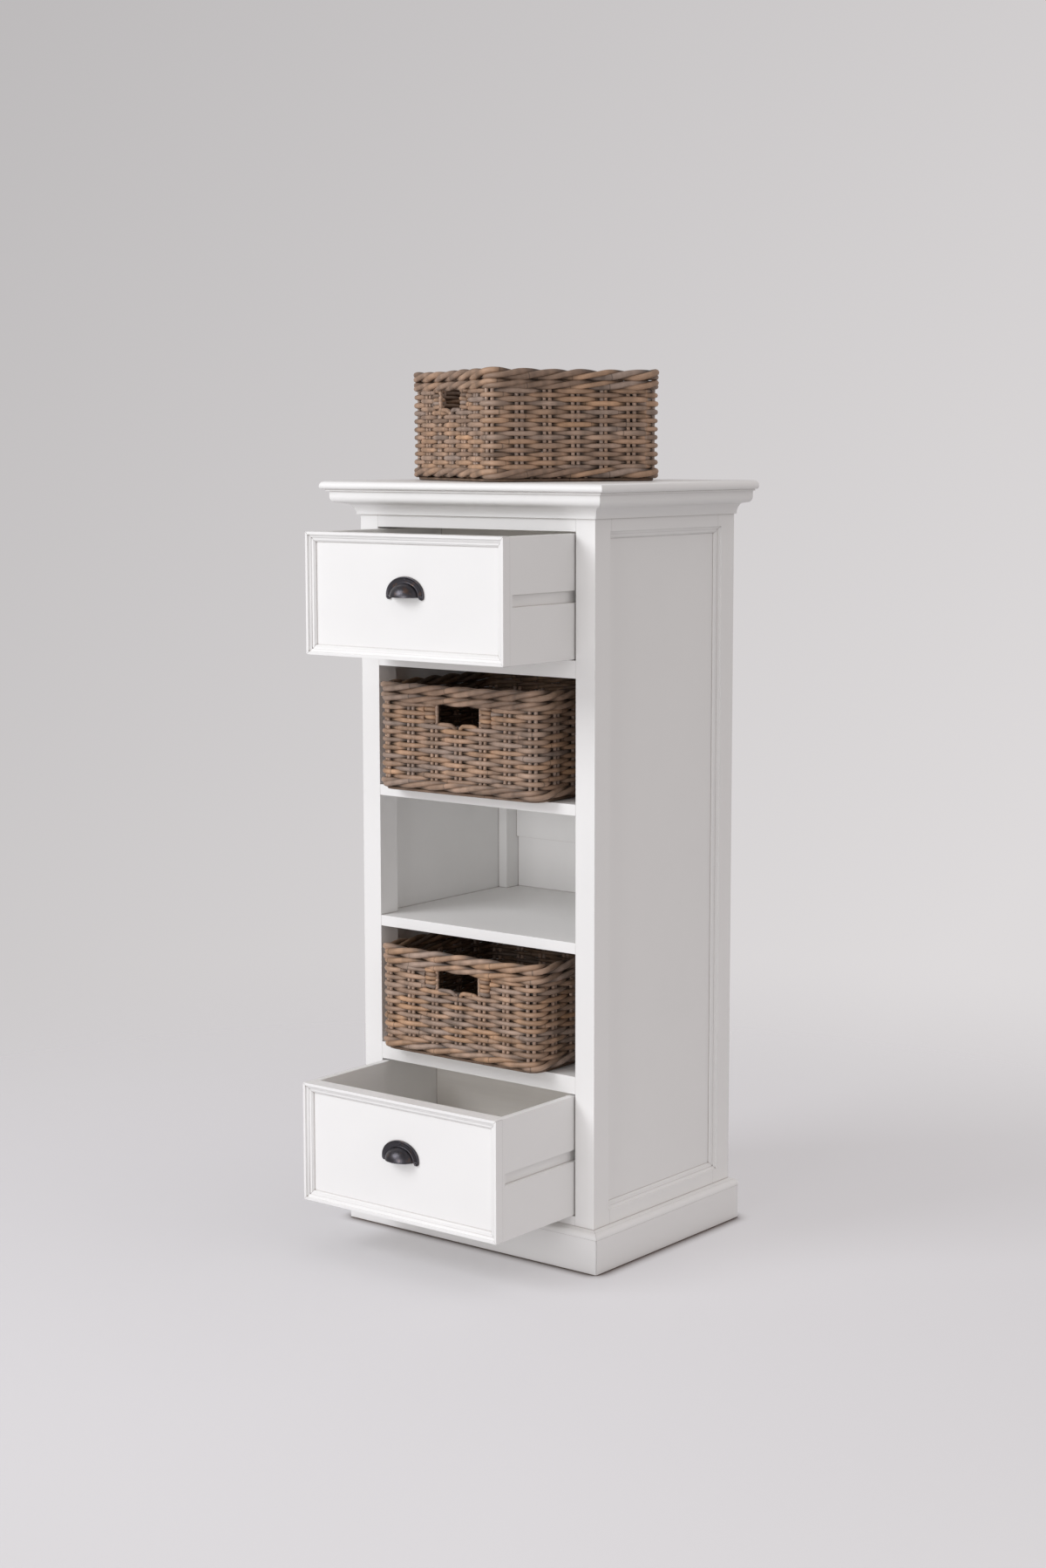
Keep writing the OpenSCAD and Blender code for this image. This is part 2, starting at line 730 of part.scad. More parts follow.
module drawer_inner_front() {
  x = drawer_w / 2 - box_t;
  color(WHITE) difference() {
    block([-x, front_t, 0], [x, front_t + box_t, drawer_h]);
    drawer_bottom_plate(0);
    at_pull() pull_screw_shanks(fastener_gap);
  }
}

module drawer_side(side) {
  color(WHITE) difference() {
    on_side(side) difference() {
      block([drawer_w / 2 - box_t, front_t, 0], [drawer_w / 2, drawer_len, drawer_h]);
      block([x_groove, groove_start, groove_mid - groove_h / 2],
            [drawer_w / 2 + eps, drawer_len + eps, groove_mid + groove_h / 2]);
    }
    drawer_bottom_plate(0);
  }
}

module drawer_back() {
  x = drawer_w / 2 - box_t;
  color(WHITE) difference() {
    block([-x, drawer_len - box_t, 0], [x, drawer_len, drawer_h]);
    drawer_bottom_plate(0);
  }
}

module drawer_bottom() {
  color(WHITE) drawer_bottom_plate(bottom_fit);
}

// Cup pull: a flange with two round ears, and a cup turned about a level axis
module flange_outline() {
  difference() {
    union() {
      polygon(concat([[pull_mid_w, ear_rise]],
        arc(0, ear_rise + flange_end_h, pull_mid_w, pull_h - ear_rise - flange_end_h, 0, 180, 28),
        [[-pull_mid_w, ear_rise]]));
      for (x = [-ear_x, ear_x]) translate([x, ear_rise]) circle(ear_r);
    }
    polygon(concat([[cup_w / 2 - cup_wall, -2 * ear_r]],
      arc(0, 0, cup_w / 2 - cup_wall, cup_r - cup_wall, 0, 180, 24), [[-cup_w / 2 + cup_wall, -2 * ear_r]]));
  }
}

module cup_pull() {
  color(BRONZE) difference() {
    union() {
      rotate([90, 0, 0]) linear_extrude(flange_t) flange_outline();
      rotate(a = 180, v = [1, 0, 1]) rotate_extrude(angle = 90)
        polygon(concat(arc(0, 0, cup_r, cup_w / 2, -90, 90, 24),
          arc(0, 0, cup_r - cup_wall, cup_w / 2 - cup_wall, 90, -90, 24)));
    }
    pull_screw_shanks(fastener_gap);
  }
}

module pull_screws() {
  color(BRONZE) {
    pull_screw_shanks(0);
    for (p = [[0, top_screw_z], [-ear_x, ear_rise], [ear_x, ear_rise]])
      translate([p[0], -flange_t, p[1]]) rotate([90, 0, 0])
        cylinder(r1 = pull_head_r, r2 = pull_head_r / 2, h = pull_head_t);
  }
}

module lower_drawer() {
  placed() drawer_at(lower_drawer_out, z_lower_drawer) children();
}

module upper_drawer() {
  placed() drawer_at(upper_drawer_out, z_upper_drawer) children();
}

// A profile of reach and height, run round the rounded rectangle of a basket's wall.
// Reach is counted from the outer face of the weave, outwards.
module run_round() {
  straight_x = basket_w - 2 * basket_r;
  straight_y = basket_d - 2 * basket_r;
  for (turn = [0, 180]) rotate(turn) {
    translate([-straight_x / 2, -basket_d / 2, 0]) rotate([90, 0, 90]) linear_extrude(straight_x)
      mirror([1, 0]) children();
    translate([basket_w / 2, straight_y / 2, 0]) rotate([90, 0, 0]) linear_extrude(straight_y) children();
  }
  for (corner = [[1, 1, 0], [-1, 1, 90], [-1, -1, 180], [1, -1, 270]])
    translate([corner[0] * straight_x / 2, corner[1] * straight_y / 2, 0]) rotate(corner[2])
      rotate_extrude(angle = 90) translate([basket_r, 0]) children();
}

// Solid plan of the basket, inset from the face of the weave
module basket_plan(inset, height) {
  r = basket_r - inset;
  x = basket_w / 2 - basket_r;
  y = basket_d / 2 - basket_r;
  linear_extrude(height) union() {
    square([2 * x, 2 * (y + r)], center = true);
    square([2 * (x + r), 2 * y], center = true);
    for (i = [-1, 1], j = [-1, 1]) translate([i * x, j * y]) circle(r);
  }
}

// Point of a quarter of the outline, from the middle of the front to the middle of the right side.
// s is measured along the stakes, out is the reach beyond the face of the weave.
function quarter_point(s, out) =
  s < flat_half_w ? [s, -basket_d / 2 - out]
  : s > quarter - flat_half_d ? [basket_w / 2 + out, s - quarter]
  : let (turn = (s - flat_half_w) / stake_r * 180 / PI)
    [flat_half_w + (basket_r + out) * sin(turn), -flat_half_d - (basket_r + out) * cos(turn)];

// Point of the whole outline, anticlockwise from the middle of the front
function outline_point(s, out) =
  let (i = floor(s / quarter), t = s - i * quarter, p = quarter_point(i % 2 == 0 ? t : quarter - t, out),
       way = [[1, 1], [1, -1], [-1, -1], [-1, 1]][(i % 4 + 4) % 4])
  [way[0] * p[0], way[1] * p[1]];

// The canes bulge in front of every second pair of stakes, by turns from row to row.
// Each bulge is cut off in the middle of the wall, so that none shows inside a corner.
module weave() {
  bulge = [[-bulge_half, -weave_depth], [-bulge_flat, 0], [0, 0], [bulge_flat, 0],
           [bulge_half, -weave_depth], [bulge_half, -basket_wall], [-bulge_half, -basket_wall]];
  difference() {
    for (row = [0 : weave_rows - 1], pair = [row % 2 : 2 : stake_pairs - 1])
      translate([0, 0, row_low_z + row * row_pitch - bulge_h / 2]) linear_extrude(bulge_h)
        polygon([for (p = bulge) outline_point(pair * stake_step + p[0], p[1])]);
    basket_plan((weave_depth + basket_wall) / 2, basket_h);
  }
}

module wall_profile() {
  translate([-basket_wall, foot_h]) square([basket_wall - weave_depth, border_z - foot_h]);
  translate([low_roll_out - low_roll_r, roll_low_z]) circle(low_roll_r);
  translate([-foot_inset - basket_wall, 0]) square([basket_wall, basket_floor_top]);
}

module border_profile() {
  intersection() {
    union() {
      translate([twist_out - twist_r, twist_z]) circle(twist_r);
      translate([top_roll_out - top_roll_r, roll_top_z]) circle(top_roll_r);
    }
    translate([-3 * top_roll_r, border_z]) square([4 * top_roll_r, basket_h]);
  }
}

module basket_body() {
  color(RATTAN) difference() {
    union() {
      run_round() wall_profile();
      weave();
      translate([0, 0, foot_h]) basket_plan(basket_wall / 2, basket_floor_t);
    }
    block([-hand_hole_w / 2, -basket_d / 2 - 2 * top_roll_r, hand_hole_z],
          [hand_hole_w / 2, -basket_d / 2 + 2 * basket_wall, border_z + eps]);
  }
}

module basket_border() {
  color(RATTAN) run_round() border_profile();
}

module lower_basket() {
  placed() translate([-lower_basket_left, basket_d / 2 - lower_basket_out, z_bay_lower + seat_gap])
    rotate(lower_basket_turn) children();
}

module upper_basket() {
  placed() translate([-upper_basket_left, basket_d / 2 - upper_basket_out, z_bay_upper + seat_gap])
    rotate(upper_basket_turn) children();
}

module top_basket() {
  placed() translate([-top_basket_left, top_basket_back, z_top + seat_gap])
    rotate(top_basket_turn) children();
}

plinth_front();
plinth_side(-1);  // plinth_left
plinth_side(1);  // plinth_right
plinth_back();
base_moulding_front();
base_moulding_side(-1);  // base_moulding_left
base_moulding_side(1);  // base_moulding_right
front_post(-1);  // front_post_left
front_post(1);  // front_post_right
rear_post(-1);  // rear_post_left
rear_post(1);  // rear_post_right
side_rails(-1);  // side_rails_left
side_rails(1);  // side_rails_right
side_panel(-1);  // side_panel_left
side_panel(1);  // side_panel_right
panel_moulding(-1);  // panel_moulding_left
panel_moulding(1);  // panel_moulding_right
rail(rail_foot, z_floor);  // rail_bottom
rail(z_rail_lower, z_bay_lower);  // rail_lower
rail(z_rail_upper, z_drawer_upper);  // rail_upper
rail(z_rail_top, z_slab);  // rail_top
board(z_shelf_lower, z_bay_middle, 0, y_back_panel, x_panel);  // shelf_lower
board(z_shelf_upper, z_bay_upper, 0, y_back_panel, x_panel);  // shelf_upper
board(z_bay_lower - divider_t, z_bay_lower, rail_t, y_back_panel, x_panel);  // divider_lower
board(z_drawer_upper - divider_t, z_drawer_upper, rail_t, y_back_panel, x_panel);  // divider_upper
board(z_floor - divider_t, z_floor, rail_t, y_back_rail, x_side_rail);  // bottom_board
back_rails();
back_panels();
crown_front();
crown_side(-1);  // crown_left
crown_side(1);  // crown_right
top_board();
drawer_runners(z_lower_drawer);  // drawer_runners_lower
drawer_runners(z_upper_drawer);  // drawer_runners_upper
frame_dowels();
frame_screws();
lower_drawer() drawer_front_panel();  // lower_drawer_front_panel
lower_drawer() drawer_moulding();  // lower_drawer_moulding
lower_drawer() drawer_inner_front();  // lower_drawer_inner_front
lower_drawer() drawer_side(-1);  // lower_drawer_side_left
lower_drawer() drawer_side(1);  // lower_drawer_side_right
lower_drawer() drawer_back();  // lower_drawer_back
lower_drawer() drawer_bottom();  // lower_drawer_bottom
lower_drawer() at_pull() cup_pull();  // lower_cup_pull
lower_drawer() at_pull() pull_screws();  // lower_pull_screws
upper_drawer() drawer_front_panel();  // upper_drawer_front_panel
upper_drawer() drawer_moulding();  // upper_drawer_moulding
upper_drawer() drawer_inner_front();  // upper_drawer_inner_front
upper_drawer() drawer_side(-1);  // upper_drawer_side_left
upper_drawer() drawer_side(1);  // upper_drawer_side_right
upper_drawer() drawer_back();  // upper_drawer_back
upper_drawer() drawer_bottom();  // upper_drawer_bottom
upper_drawer() at_pull() cup_pull();  // upper_cup_pull
upper_drawer() at_pull() pull_screws();  // upper_pull_screws
lower_basket() basket_body();  // lower_basket_body
lower_basket() basket_border();  // lower_basket_border
upper_basket() basket_body();  // upper_basket_body
upper_basket() basket_border();  // upper_basket_border
top_basket() basket_body();  // top_basket_body
top_basket() basket_border();  // top_basket_border
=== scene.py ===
import math
import random

import bmesh
import bpy
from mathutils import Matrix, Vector


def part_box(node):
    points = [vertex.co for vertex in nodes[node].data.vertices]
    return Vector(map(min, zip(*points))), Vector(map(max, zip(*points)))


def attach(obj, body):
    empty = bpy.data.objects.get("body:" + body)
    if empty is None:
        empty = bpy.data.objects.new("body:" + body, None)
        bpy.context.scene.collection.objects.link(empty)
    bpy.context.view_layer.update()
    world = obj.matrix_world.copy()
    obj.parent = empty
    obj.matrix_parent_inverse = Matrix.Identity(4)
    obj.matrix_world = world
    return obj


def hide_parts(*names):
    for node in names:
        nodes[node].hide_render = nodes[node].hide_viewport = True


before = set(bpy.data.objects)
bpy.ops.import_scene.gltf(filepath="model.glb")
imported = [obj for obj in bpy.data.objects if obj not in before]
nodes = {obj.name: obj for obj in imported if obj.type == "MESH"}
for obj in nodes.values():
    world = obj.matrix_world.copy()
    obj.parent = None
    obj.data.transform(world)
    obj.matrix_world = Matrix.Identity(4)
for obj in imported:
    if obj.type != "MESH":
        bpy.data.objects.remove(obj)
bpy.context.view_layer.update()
scene = bpy.context.scene
mm = 0.001

# Camera of the photograph, fitted to the cabinet's straight edges: a 60 mm lens, seven and a half degrees
# down, thirty-eight degrees round from the front.


def linked(name, data):
    """A new object in the scene, made of this data."""
    made = bpy.data.objects.new(name, data)
    scene.collection.objects.link(made)
    return made


camera_data = bpy.data.cameras.new("camera")
camera_data.lens = 60.0
camera_data.sensor_width = 36.0
camera = linked("camera", camera_data)
camera.location = (2.6529, -3.2328, 1.3145)
camera.rotation_euler = [math.radians(a) for a in (82.52, 0.08, 38.21)]
scene.camera = camera
scene.view_settings.view_transform = "Standard"

# Studio light: a dim room that glows from high on its rear right side, a large soft lamp at the front left
# above the cabinet, and a weaker one low in front that reaches into the open bays. The wall behind is a
# pale lilac grey that grows lighter to the right and downwards.
room_level = 0.21
room_glow = 0.66
glow_side = (0.53, 0.42, 0.74)
room_tint = (1.0, 0.955, 0.955, 1.0)
wall_tint = (1.0, 0.968, 0.975)
wall_middle = 0.62
wall_to_right = 0.33
wall_to_top = -0.29
wall_darkest = 0.4
wall_lightest = 0.73
view_right = (0.786, 0.619, 0.0)


def add(tree, kind, inputs=None, **settings):
    """Adds a node with its settings; an input is a value, a socket, a node's first output or a list."""
    node = tree.nodes.new(kind)
    for name, value in settings.items():
        setattr(node, name, value)
    for name, values in (inputs or {}).items():
        for value in values if isinstance(values, list) else [values]:
            if isinstance(value, bpy.types.Node):
                value = value.outputs[0]
            if isinstance(value, bpy.types.NodeSocket):
                tree.links.new(value, node.inputs[name])
            else:
                node.inputs[name].default_value = value
    return node


world = bpy.data.worlds.new("studio")
scene.world = world
world.use_nodes = True
tree = world.node_tree
tree.nodes.clear()
direction = add(tree, "ShaderNodeTexCoord").outputs["Generated"]
across = add(tree, "ShaderNodeVectorMath", {0: direction, 1: view_right}, operation="DOT_PRODUCT")
upward = add(tree, "ShaderNodeSeparateXYZ", {0: direction}).outputs["Z"]
tone = add(tree, "ShaderNodeMath", {0: across.outputs["Value"], 1: wall_to_right, 2: wall_middle},
           operation="MULTIPLY_ADD")
tone = add(tree, "ShaderNodeMath", {0: upward, 1: wall_to_top, 2: tone}, operation="MULTIPLY_ADD")
tone = add(tree, "ShaderNodeClamp", {"Value": tone, "Min": wall_darkest, "Max": wall_lightest})
wall = add(tree, "ShaderNodeVectorMath", {0: wall_tint, "Scale": tone}, operation="SCALE")
seen = add(tree, "ShaderNodeBackground", {"Color": wall, "Strength": 1.0})
toward = add(tree, "ShaderNodeVectorMath", {0: direction, 1: glow_side}, operation="DOT_PRODUCT")
level = add(tree, "ShaderNodeMapRange", {
    "Value": toward.outputs["Value"], "To Min": room_level, "To Max": room_level + room_glow})
fill = add(tree, "ShaderNodeBackground", {"Color": room_tint, "Strength": level})
rays = add(tree, "ShaderNodeLightPath").outputs
shown = rays["Is Camera Ray"]
for ray in ("Is Glossy Ray", "Is Transmission Ray"):
    shown = add(tree, "ShaderNodeMath", {0: shown, 1: rays[ray]}, operation="MAXIMUM")
both = add(tree, "ShaderNodeMixShader", {0: shown, 1: fill, 2: seen})
add(tree, "ShaderNodeOutputWorld", {"Surface": both})

# Place of each lamp, what it points at, its size, its watts and its colour
lamps = {
    "key_soft_box": ((-1.9, -3.3, 3.1), (0.0, 0.0, 0.7), 2.2, 94.0, (0.98, 0.995, 1.03)),
    "low_front_fill": ((0.3, -4.4, 0.8), (0.0, 0.0, 0.7), 2.2, 72.0, (0.99, 0.985, 1.01)),
}
for lamp_name, (place, target, size, watts, colour) in lamps.items():
    lamp_data = bpy.data.lights.new(lamp_name, "AREA")
    lamp_data.shape = "SQUARE"
    lamp_data.size = size
    lamp_data.energy = watts
    lamp_data.color = colour
    lamp = linked(lamp_name, lamp_data)
    lamp.location = place
    lamp.rotation_euler = (Vector(target) - Vector(place)).to_track_quat("-Z", "Y").to_euler()

# Floor: pale seamless paper that takes the cabinet's shadow, softened by light from all round, and
# fades into the wall before its edge. Within some millimetres of the plinth it is dark: a painted contact
# shadow.
floor_reach = 4.0
floor_middle = (0.0, 0.15, -0.2 * mm)
floor_sides = 96
floor_cover = 0.62
fade_start = 0.7
fade_end = 2.6
contact_shadow_reach = 26 * mm


def new_material(name):
    """An empty material, and the tree for its nodes."""
    material = bpy.data.materials.new(name)
    material.use_nodes = True
    material.node_tree.nodes.clear()
    return material, material.node_tree


def linear(code):
    """Linear colour of an sRGB hex value."""
    channels = [int(code[i:i + 2], 16) / 255 for i in (1, 3, 5)]
    return tuple(c / 12.92 if c <= 0.04045 else ((c + 0.055) / 1.055) ** 2.4 for c in channels) + (1.0,)


floor_mesh = bmesh.new()
bmesh.ops.create_circle(floor_mesh, cap_ends=True, segments=floor_sides, radius=floor_reach)
bmesh.ops.translate(floor_mesh, vec=floor_middle, verts=floor_mesh.verts)
floor_data = bpy.data.meshes.new("studio_floor")
floor_mesh.to_mesh(floor_data)
floor_mesh.free()
floor = linked("studio_floor", floor_data)
paper, tree = new_material("pale_seamless_paper")
place = add(tree, "ShaderNodeTexCoord").outputs["Object"]
distance = add(tree, "ShaderNodeVectorMath", {0: place}, operation="LENGTH")
near = add(tree, "ShaderNodeMapRange", {
    "Value": distance.outputs["Value"], "From Min": fade_start, "From Max": fade_end,
    "To Min": floor_cover, "To Max": 0.0}, interpolation_type="SMOOTHSTEP")
cloudy = add(tree, "ShaderNodeTexNoise", {"Vector": place, "Scale": 0.8, "Detail": 1.0})
tone = add(tree, "ShaderNodeMix", {"Factor": cloudy, 6: linear("#e4e3e6"), 7: linear("#e9e8eb")},
           data_type="RGBA")
# Painted contact shadow: where the plinth hems the paper in, it turns dark brown grey and stops fading
openness = add(tree, "ShaderNodeAmbientOcclusion", {"Distance": contact_shadow_reach}).outputs["AO"]
openness = add(tree, "ShaderNodeMapRange", {"Value": openness, "From Min": 0.5, "From Max": 1.0})
cover = add(tree, "ShaderNodeMapRange", {"Value": openness, "To Min": 1.0, "To Max": near})
tone = add(tree, "ShaderNodeMix", {"Factor": openness, 6: linear("#5a4a42"), 7: tone.outputs[2]},
           data_type="RGBA")
matt = add(tree, "ShaderNodeBsdfDiffuse", {"Color": tone.outputs[2]})
clear = add(tree, "ShaderNodeBsdfTransparent")
faded = add(tree, "ShaderNodeMixShader", {0: cover, 1: clear, 2: matt})
add(tree, "ShaderNodeOutputMaterial", {"Surface": faded})
floor_data.materials.append(paper)

# Painted carcass: posts, rails, shelves, panels and mouldings of sawn wood, glued and screwed, their
# edges eased by sanding, then brushed with satin white paint that keeps a faint trace of the grain. The
# joints and the quirks of the mouldings are greyed with painted shade.
frame_edge = 0.5 * mm
board_edge = 0.8 * mm
trim_edge = 0.25 * mm
eased_length = 5 * mm
eased_turn = math.radians(30)
crisp_turn = math.radians(40)
flat_turn = math.radians(0.5)
weld_gap = 0.01 * mm
crevice_shade_reach = 3 * mm
carcass_boards = (
    (board_edge, ("plinth_front", "plinth_left", "plinth_right", "plinth_back")),
    (trim_edge, ("base_moulding_front", "base_moulding_left", "base_moulding_right")),
    (frame_edge, ("front_post_left", "front_post_right", "rear_post_left", "rear_post_right",
                  "side_rails_left", "side_rails_right")),
    (trim_edge, ("side_panel_left", "side_panel_right", "panel_moulding_left", "panel_moulding_right")),
    (frame_edge, ("rail_bottom", "rail_lower", "rail_upper", "rail_top")),
    (board_edge, ("shelf_lower", "shelf_upper")),
    (frame_edge, ("divider_lower", "divider_upper", "bottom_board", "back_rails")),
    (trim_edge, ("back_panels", "crown_front", "crown_left", "crown_right")),
    (frame_edge, ("top_board",)),
    (board_edge, ("drawer_runners_lower", "drawer_runners_upper")),
)


def streaks(tree, place, steps, detail, distortion=0.0):
    """Noise drawn out along a board or a cane; steps say how often it changes in a metre."""
    stretched = add(tree, "ShaderNodeVectorMath", {0: place, 1: steps}, operation="MULTIPLY")
    return add(tree, "ShaderNodeTexNoise", {
        "Vector": stretched, "Scale": 1.0, "Detail": detail, "Distortion": distortion})


satin_white, tree = new_material("satin_white_brushed_paint")
along = add(tree, "ShaderNodeAttribute", attribute_name="grain").outputs["Vector"]
# Brush strokes about 2 mm apart that run 200 mm and more, and grain under them at 6 mm
strokes = streaks(tree, along, (5.0, 480.0, 480.0), 2.0)
grain = streaks(tree, along, (4.0, 160.0, 160.0), 3.0, 0.3)
relief = add(tree, "ShaderNodeMath", {0: strokes, 1: grain})
relief = add(tree, "ShaderNodeBump", {"Height": relief, "Strength": 0.12, "Distance": 0.1 * mm})
patches = add(tree, "ShaderNodeTexNoise", {"Vector": along, "Scale": 7.0, "Detail": 3.0})
tone = add(tree, "ShaderNodeMix", {"Factor": patches, 6: linear("#efeeec"), 7: linear("#f4f3f1")},
           data_type="RGBA")
sheen = add(tree, "ShaderNodeMapRange", {
    "Value": patches, "From Min": 0.3, "From Max": 0.7, "To Min": 0.36, "To Max": 0.46})
# Painted shade: the paint is drawn greyer where joints and the quirks of the mouldings hem it in
quirk_shade = add(tree, "ShaderNodeAmbientOcclusion", {"Distance": crevice_shade_reach}).outputs["AO"]
quirk_shade = add(tree, "ShaderNodeMapRange", {"Value": quirk_shade, "From Min": 0.35, "From Max": 0.85})
tone = add(tree, "ShaderNodeMix", {"Factor": quirk_shade, 6: linear("#b4aca7"), 7: tone.outputs[2]},
           data_type="RGBA")
paint = add(tree, "ShaderNodeBsdfPrincipled", {
    "Base Color": tone.outputs[2], "Roughness": sheen, "IOR": 1.47, "Normal": relief})
add(tree, "ShaderNodeOutputMaterial", {"Surface": paint})


def painted(node, edge, body, material):
    """An eased and painted copy of a board, with coordinates that run along its grain."""
    board = bmesh.new()
    board.from_mesh(nodes[node].data)
    bmesh.ops.remove_doubles(board, verts=board.verts, dist=weld_gap)
    bmesh.ops.dissolve_limit(board, angle_limit=flat_turn, verts=board.verts, edges=board.edges)
    sharp = [e for e in board.edges if len(e.link_faces) == 2 and e.calc_length() > eased_length
             and e.calc_face_angle_signed() > eased_turn]
    bmesh.ops.bevel(board, geom=sharp, offset=edge, offset_type="OFFSET", segments=2, profile=0.5,
                    affect="EDGES", clamp_overlap=True)
    low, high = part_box(node)
    longest_first = sorted(range(3), key=lambda axis: low[axis] - high[axis])
    shift = random.Random(node).uniform(0, 9)
    layer = board.verts.layers.float_vector.new("grain")
    for vertex in board.verts:
        vertex[layer] = [vertex.co[axis] + shift for axis in longest_first]
    mesh = bpy.data.meshes.new("painted_" + node)
    board.to_mesh(mesh)
    board.free()
    mesh.shade_smooth()
    mesh.set_sharp_from_angle(angle=crisp_turn)
    mesh.materials.append(material)
    piece = linked("painted_" + node, mesh)
    weighted = piece.modifiers.new("flat_faces", "WEIGHTED_NORMAL")
    weighted.keep_sharp = True
    weighted.weight = 100
    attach(piece, body)
    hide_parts(node)


for edge, boards in carcass_boards:
    for node in boards:
        painted(node, edge, "cabinet", satin_white)

# Dowels of turned beech in the ends of rails and shelves, glued in and hidden in the frame. Their round
# sides show fine flecks.
beech, tree = new_material("turned_beech_dowel")
place = add(tree, "ShaderNodeTexCoord").outputs["Object"]
flecks = streaks(tree, place, (60.0, 900.0, 900.0), 3.0)
tone = add(tree, "ShaderNodeMix", {"Factor": flecks, 6: linear("#c9a06c"), 7: linear("#e0c093")},
           data_type="RGBA")
wood = add(tree, "ShaderNodeBsdfPrincipled", {"Base Color": tone.outputs[2], "Roughness": 0.6})
add(tree, "ShaderNodeOutputMaterial", {"Surface": wood})
nodes["frame_dowels"].data.materials.clear()
nodes["frame_dowels"].data.materials.append(beech)

# Zinc plated steel screws of the runners and the back panels, driven in from inside and from behind. The
# plating is dull grey and mottled.
zinc, tree = new_material("zinc_plated_steel")
place = add(tree, "ShaderNodeTexCoord").outputs["Object"]
mottle = add(tree, "ShaderNodeTexNoise", {"Vector": place, "Scale": 900.0, "Detail": 2.0})
tone = add(tree, "ShaderNodeMix", {"Factor": mottle, 6: linear("#9c9c98"), 7: linear("#c2c3c4")},
           data_type="RGBA")
plating = add(tree, "ShaderNodeBsdfPrincipled", {
    "Base Color": tone.outputs[2], "Metallic": 1.0, "Roughness": 0.42})
add(tree, "ShaderNodeOutputMaterial", {"Surface": plating})
nodes["frame_screws"].data.materials.clear()
nodes["frame_screws"].data.materials.append(zinc)

# Drawers: boxes of painted boards with a runner groove in each side, and a front of mitred moulded
# sticks round a flat panel. Bottom and back have a thinner, warmer coat of the same paint.
drawer_edges = {"front_panel": trim_edge, "moulding": trim_edge, "inner_front": board_edge,
                "side_left": board_edge, "side_right": board_edge}
inside_edges = {"back": board_edge, "bottom": trim_edge}

inside_paint, tree = new_material("thin_warm_white_paint")
along = add(tree, "ShaderNodeAttribute", attribute_name="grain").outputs["Vector"]
# The grain shows through the thin coat, 6 mm wide
grain = streaks(tree, along, (6.0, 170.0, 170.0), 4.0, 0.4)
relief = add(tree, "ShaderNodeBump", {"Height": grain, "Strength": 0.25, "Distance": 0.1 * mm})
tone = add(tree, "ShaderNodeMix", {"Factor": grain, 6: linear("#eeeae3"), 7: linear("#f5f2ed")},
           data_type="RGBA")
coat = add(tree, "ShaderNodeBsdfPrincipled", {
    "Base Color": tone.outputs[2], "Roughness": 0.55, "IOR": 1.47, "Normal": relief})
add(tree, "ShaderNodeOutputMaterial", {"Surface": coat})

for drawer in ("lower_drawer", "upper_drawer"):
    for part, edge in drawer_edges.items():
        painted(f"{drawer}_{part}", edge, drawer, satin_white)
    for part, edge in inside_edges.items():
        painted(f"{drawer}_{part}", edge, drawer, inside_paint)

# Cup pulls: dark bronzed castings, one on each drawer. A flange with a raised rim and round ears lies on
# the front panel, and the hollow cup takes the fingers from below. Rim, flange and cup are one casting,
# so the corners between them are rounded.
pull_half_w = 38 * mm
rim_radius = 1.3 * mm
rim_inset = 1.3 * mm
rim_centre = 4 * mm
rim_rise = 28 * mm
flange_face = 2.4 * mm
ear_side = 33 * mm
ear_level = 1 * mm
ear_round = 5 * mm
ear_drop = 4 * mm
casting_grain = 0.55 * mm
# The slot cutter is longer than a head is wide, and the block that cuts off a dome's lower half is as wide
cutter_reach = 6 * mm
cutter_depth = 1.4 * mm
block_depth = 4 * mm
head_turn = math.radians(35)

dark_bronze, tree = new_material("dark_bronzed_casting")
place = add(tree, "ShaderNodeTexCoord").outputs["Object"]
# Patches 10 mm wide where the dark coat is rubbed to brown, and a cast skin with pits 1.5 mm apart
rubbed = add(tree, "ShaderNodeTexNoise", {"Vector": place, "Scale": 95.0, "Detail": 3.0})
rubbed = add(tree, "ShaderNodeMapRange", {"Value": rubbed, "From Min": 0.56, "From Max": 0.74})
tone = add(tree, "ShaderNodeMix", {"Factor": rubbed, 6: linear("#4c4a4e"), 7: linear("#6e5a50")},
           data_type="RGBA")
pits = add(tree, "ShaderNodeTexNoise", {"Vector": place, "Scale": 650.0, "Detail": 2.0})
gloss = add(tree, "ShaderNodeMapRange", {
    "Value": pits, "From Min": 0.3, "From Max": 0.7, "To Min": 0.28, "To Max": 0.44})
pitted = add(tree, "ShaderNodeBump", {"Height": pits, "Strength": 0.35, "Distance": 0.25 * mm})
casting = add(tree, "ShaderNodeBsdfPrincipled", {
    "Base Color": tone.outputs[2], "Metallic": 1.0, "Roughness": gloss, "Normal": pitted})
add(tree, "ShaderNodeOutputMaterial", {"Surface": casting})


def new_tree(name, inputs):
    """An empty Geometry Nodes tree and its named inputs; an input of None is a geometry."""
    kinds = {float: "NodeSocketFloat", int: "NodeSocketInt", bool: "NodeSocketBool",
             tuple: "NodeSocketVector", type(None): "NodeSocketGeometry"}
    made = bpy.data.node_groups.new(name, "GeometryNodeTree")
    for label, value in inputs.items():
        socket = made.interface.new_socket(label, in_out="INPUT", socket_type=kinds[type(value)])
        if value is not None:
            socket.default_value = value
    made.interface.new_socket("Geometry", in_out="OUTPUT", socket_type="NodeSocketGeometry")
    return made, add(made, "NodeGroupInput").outputs


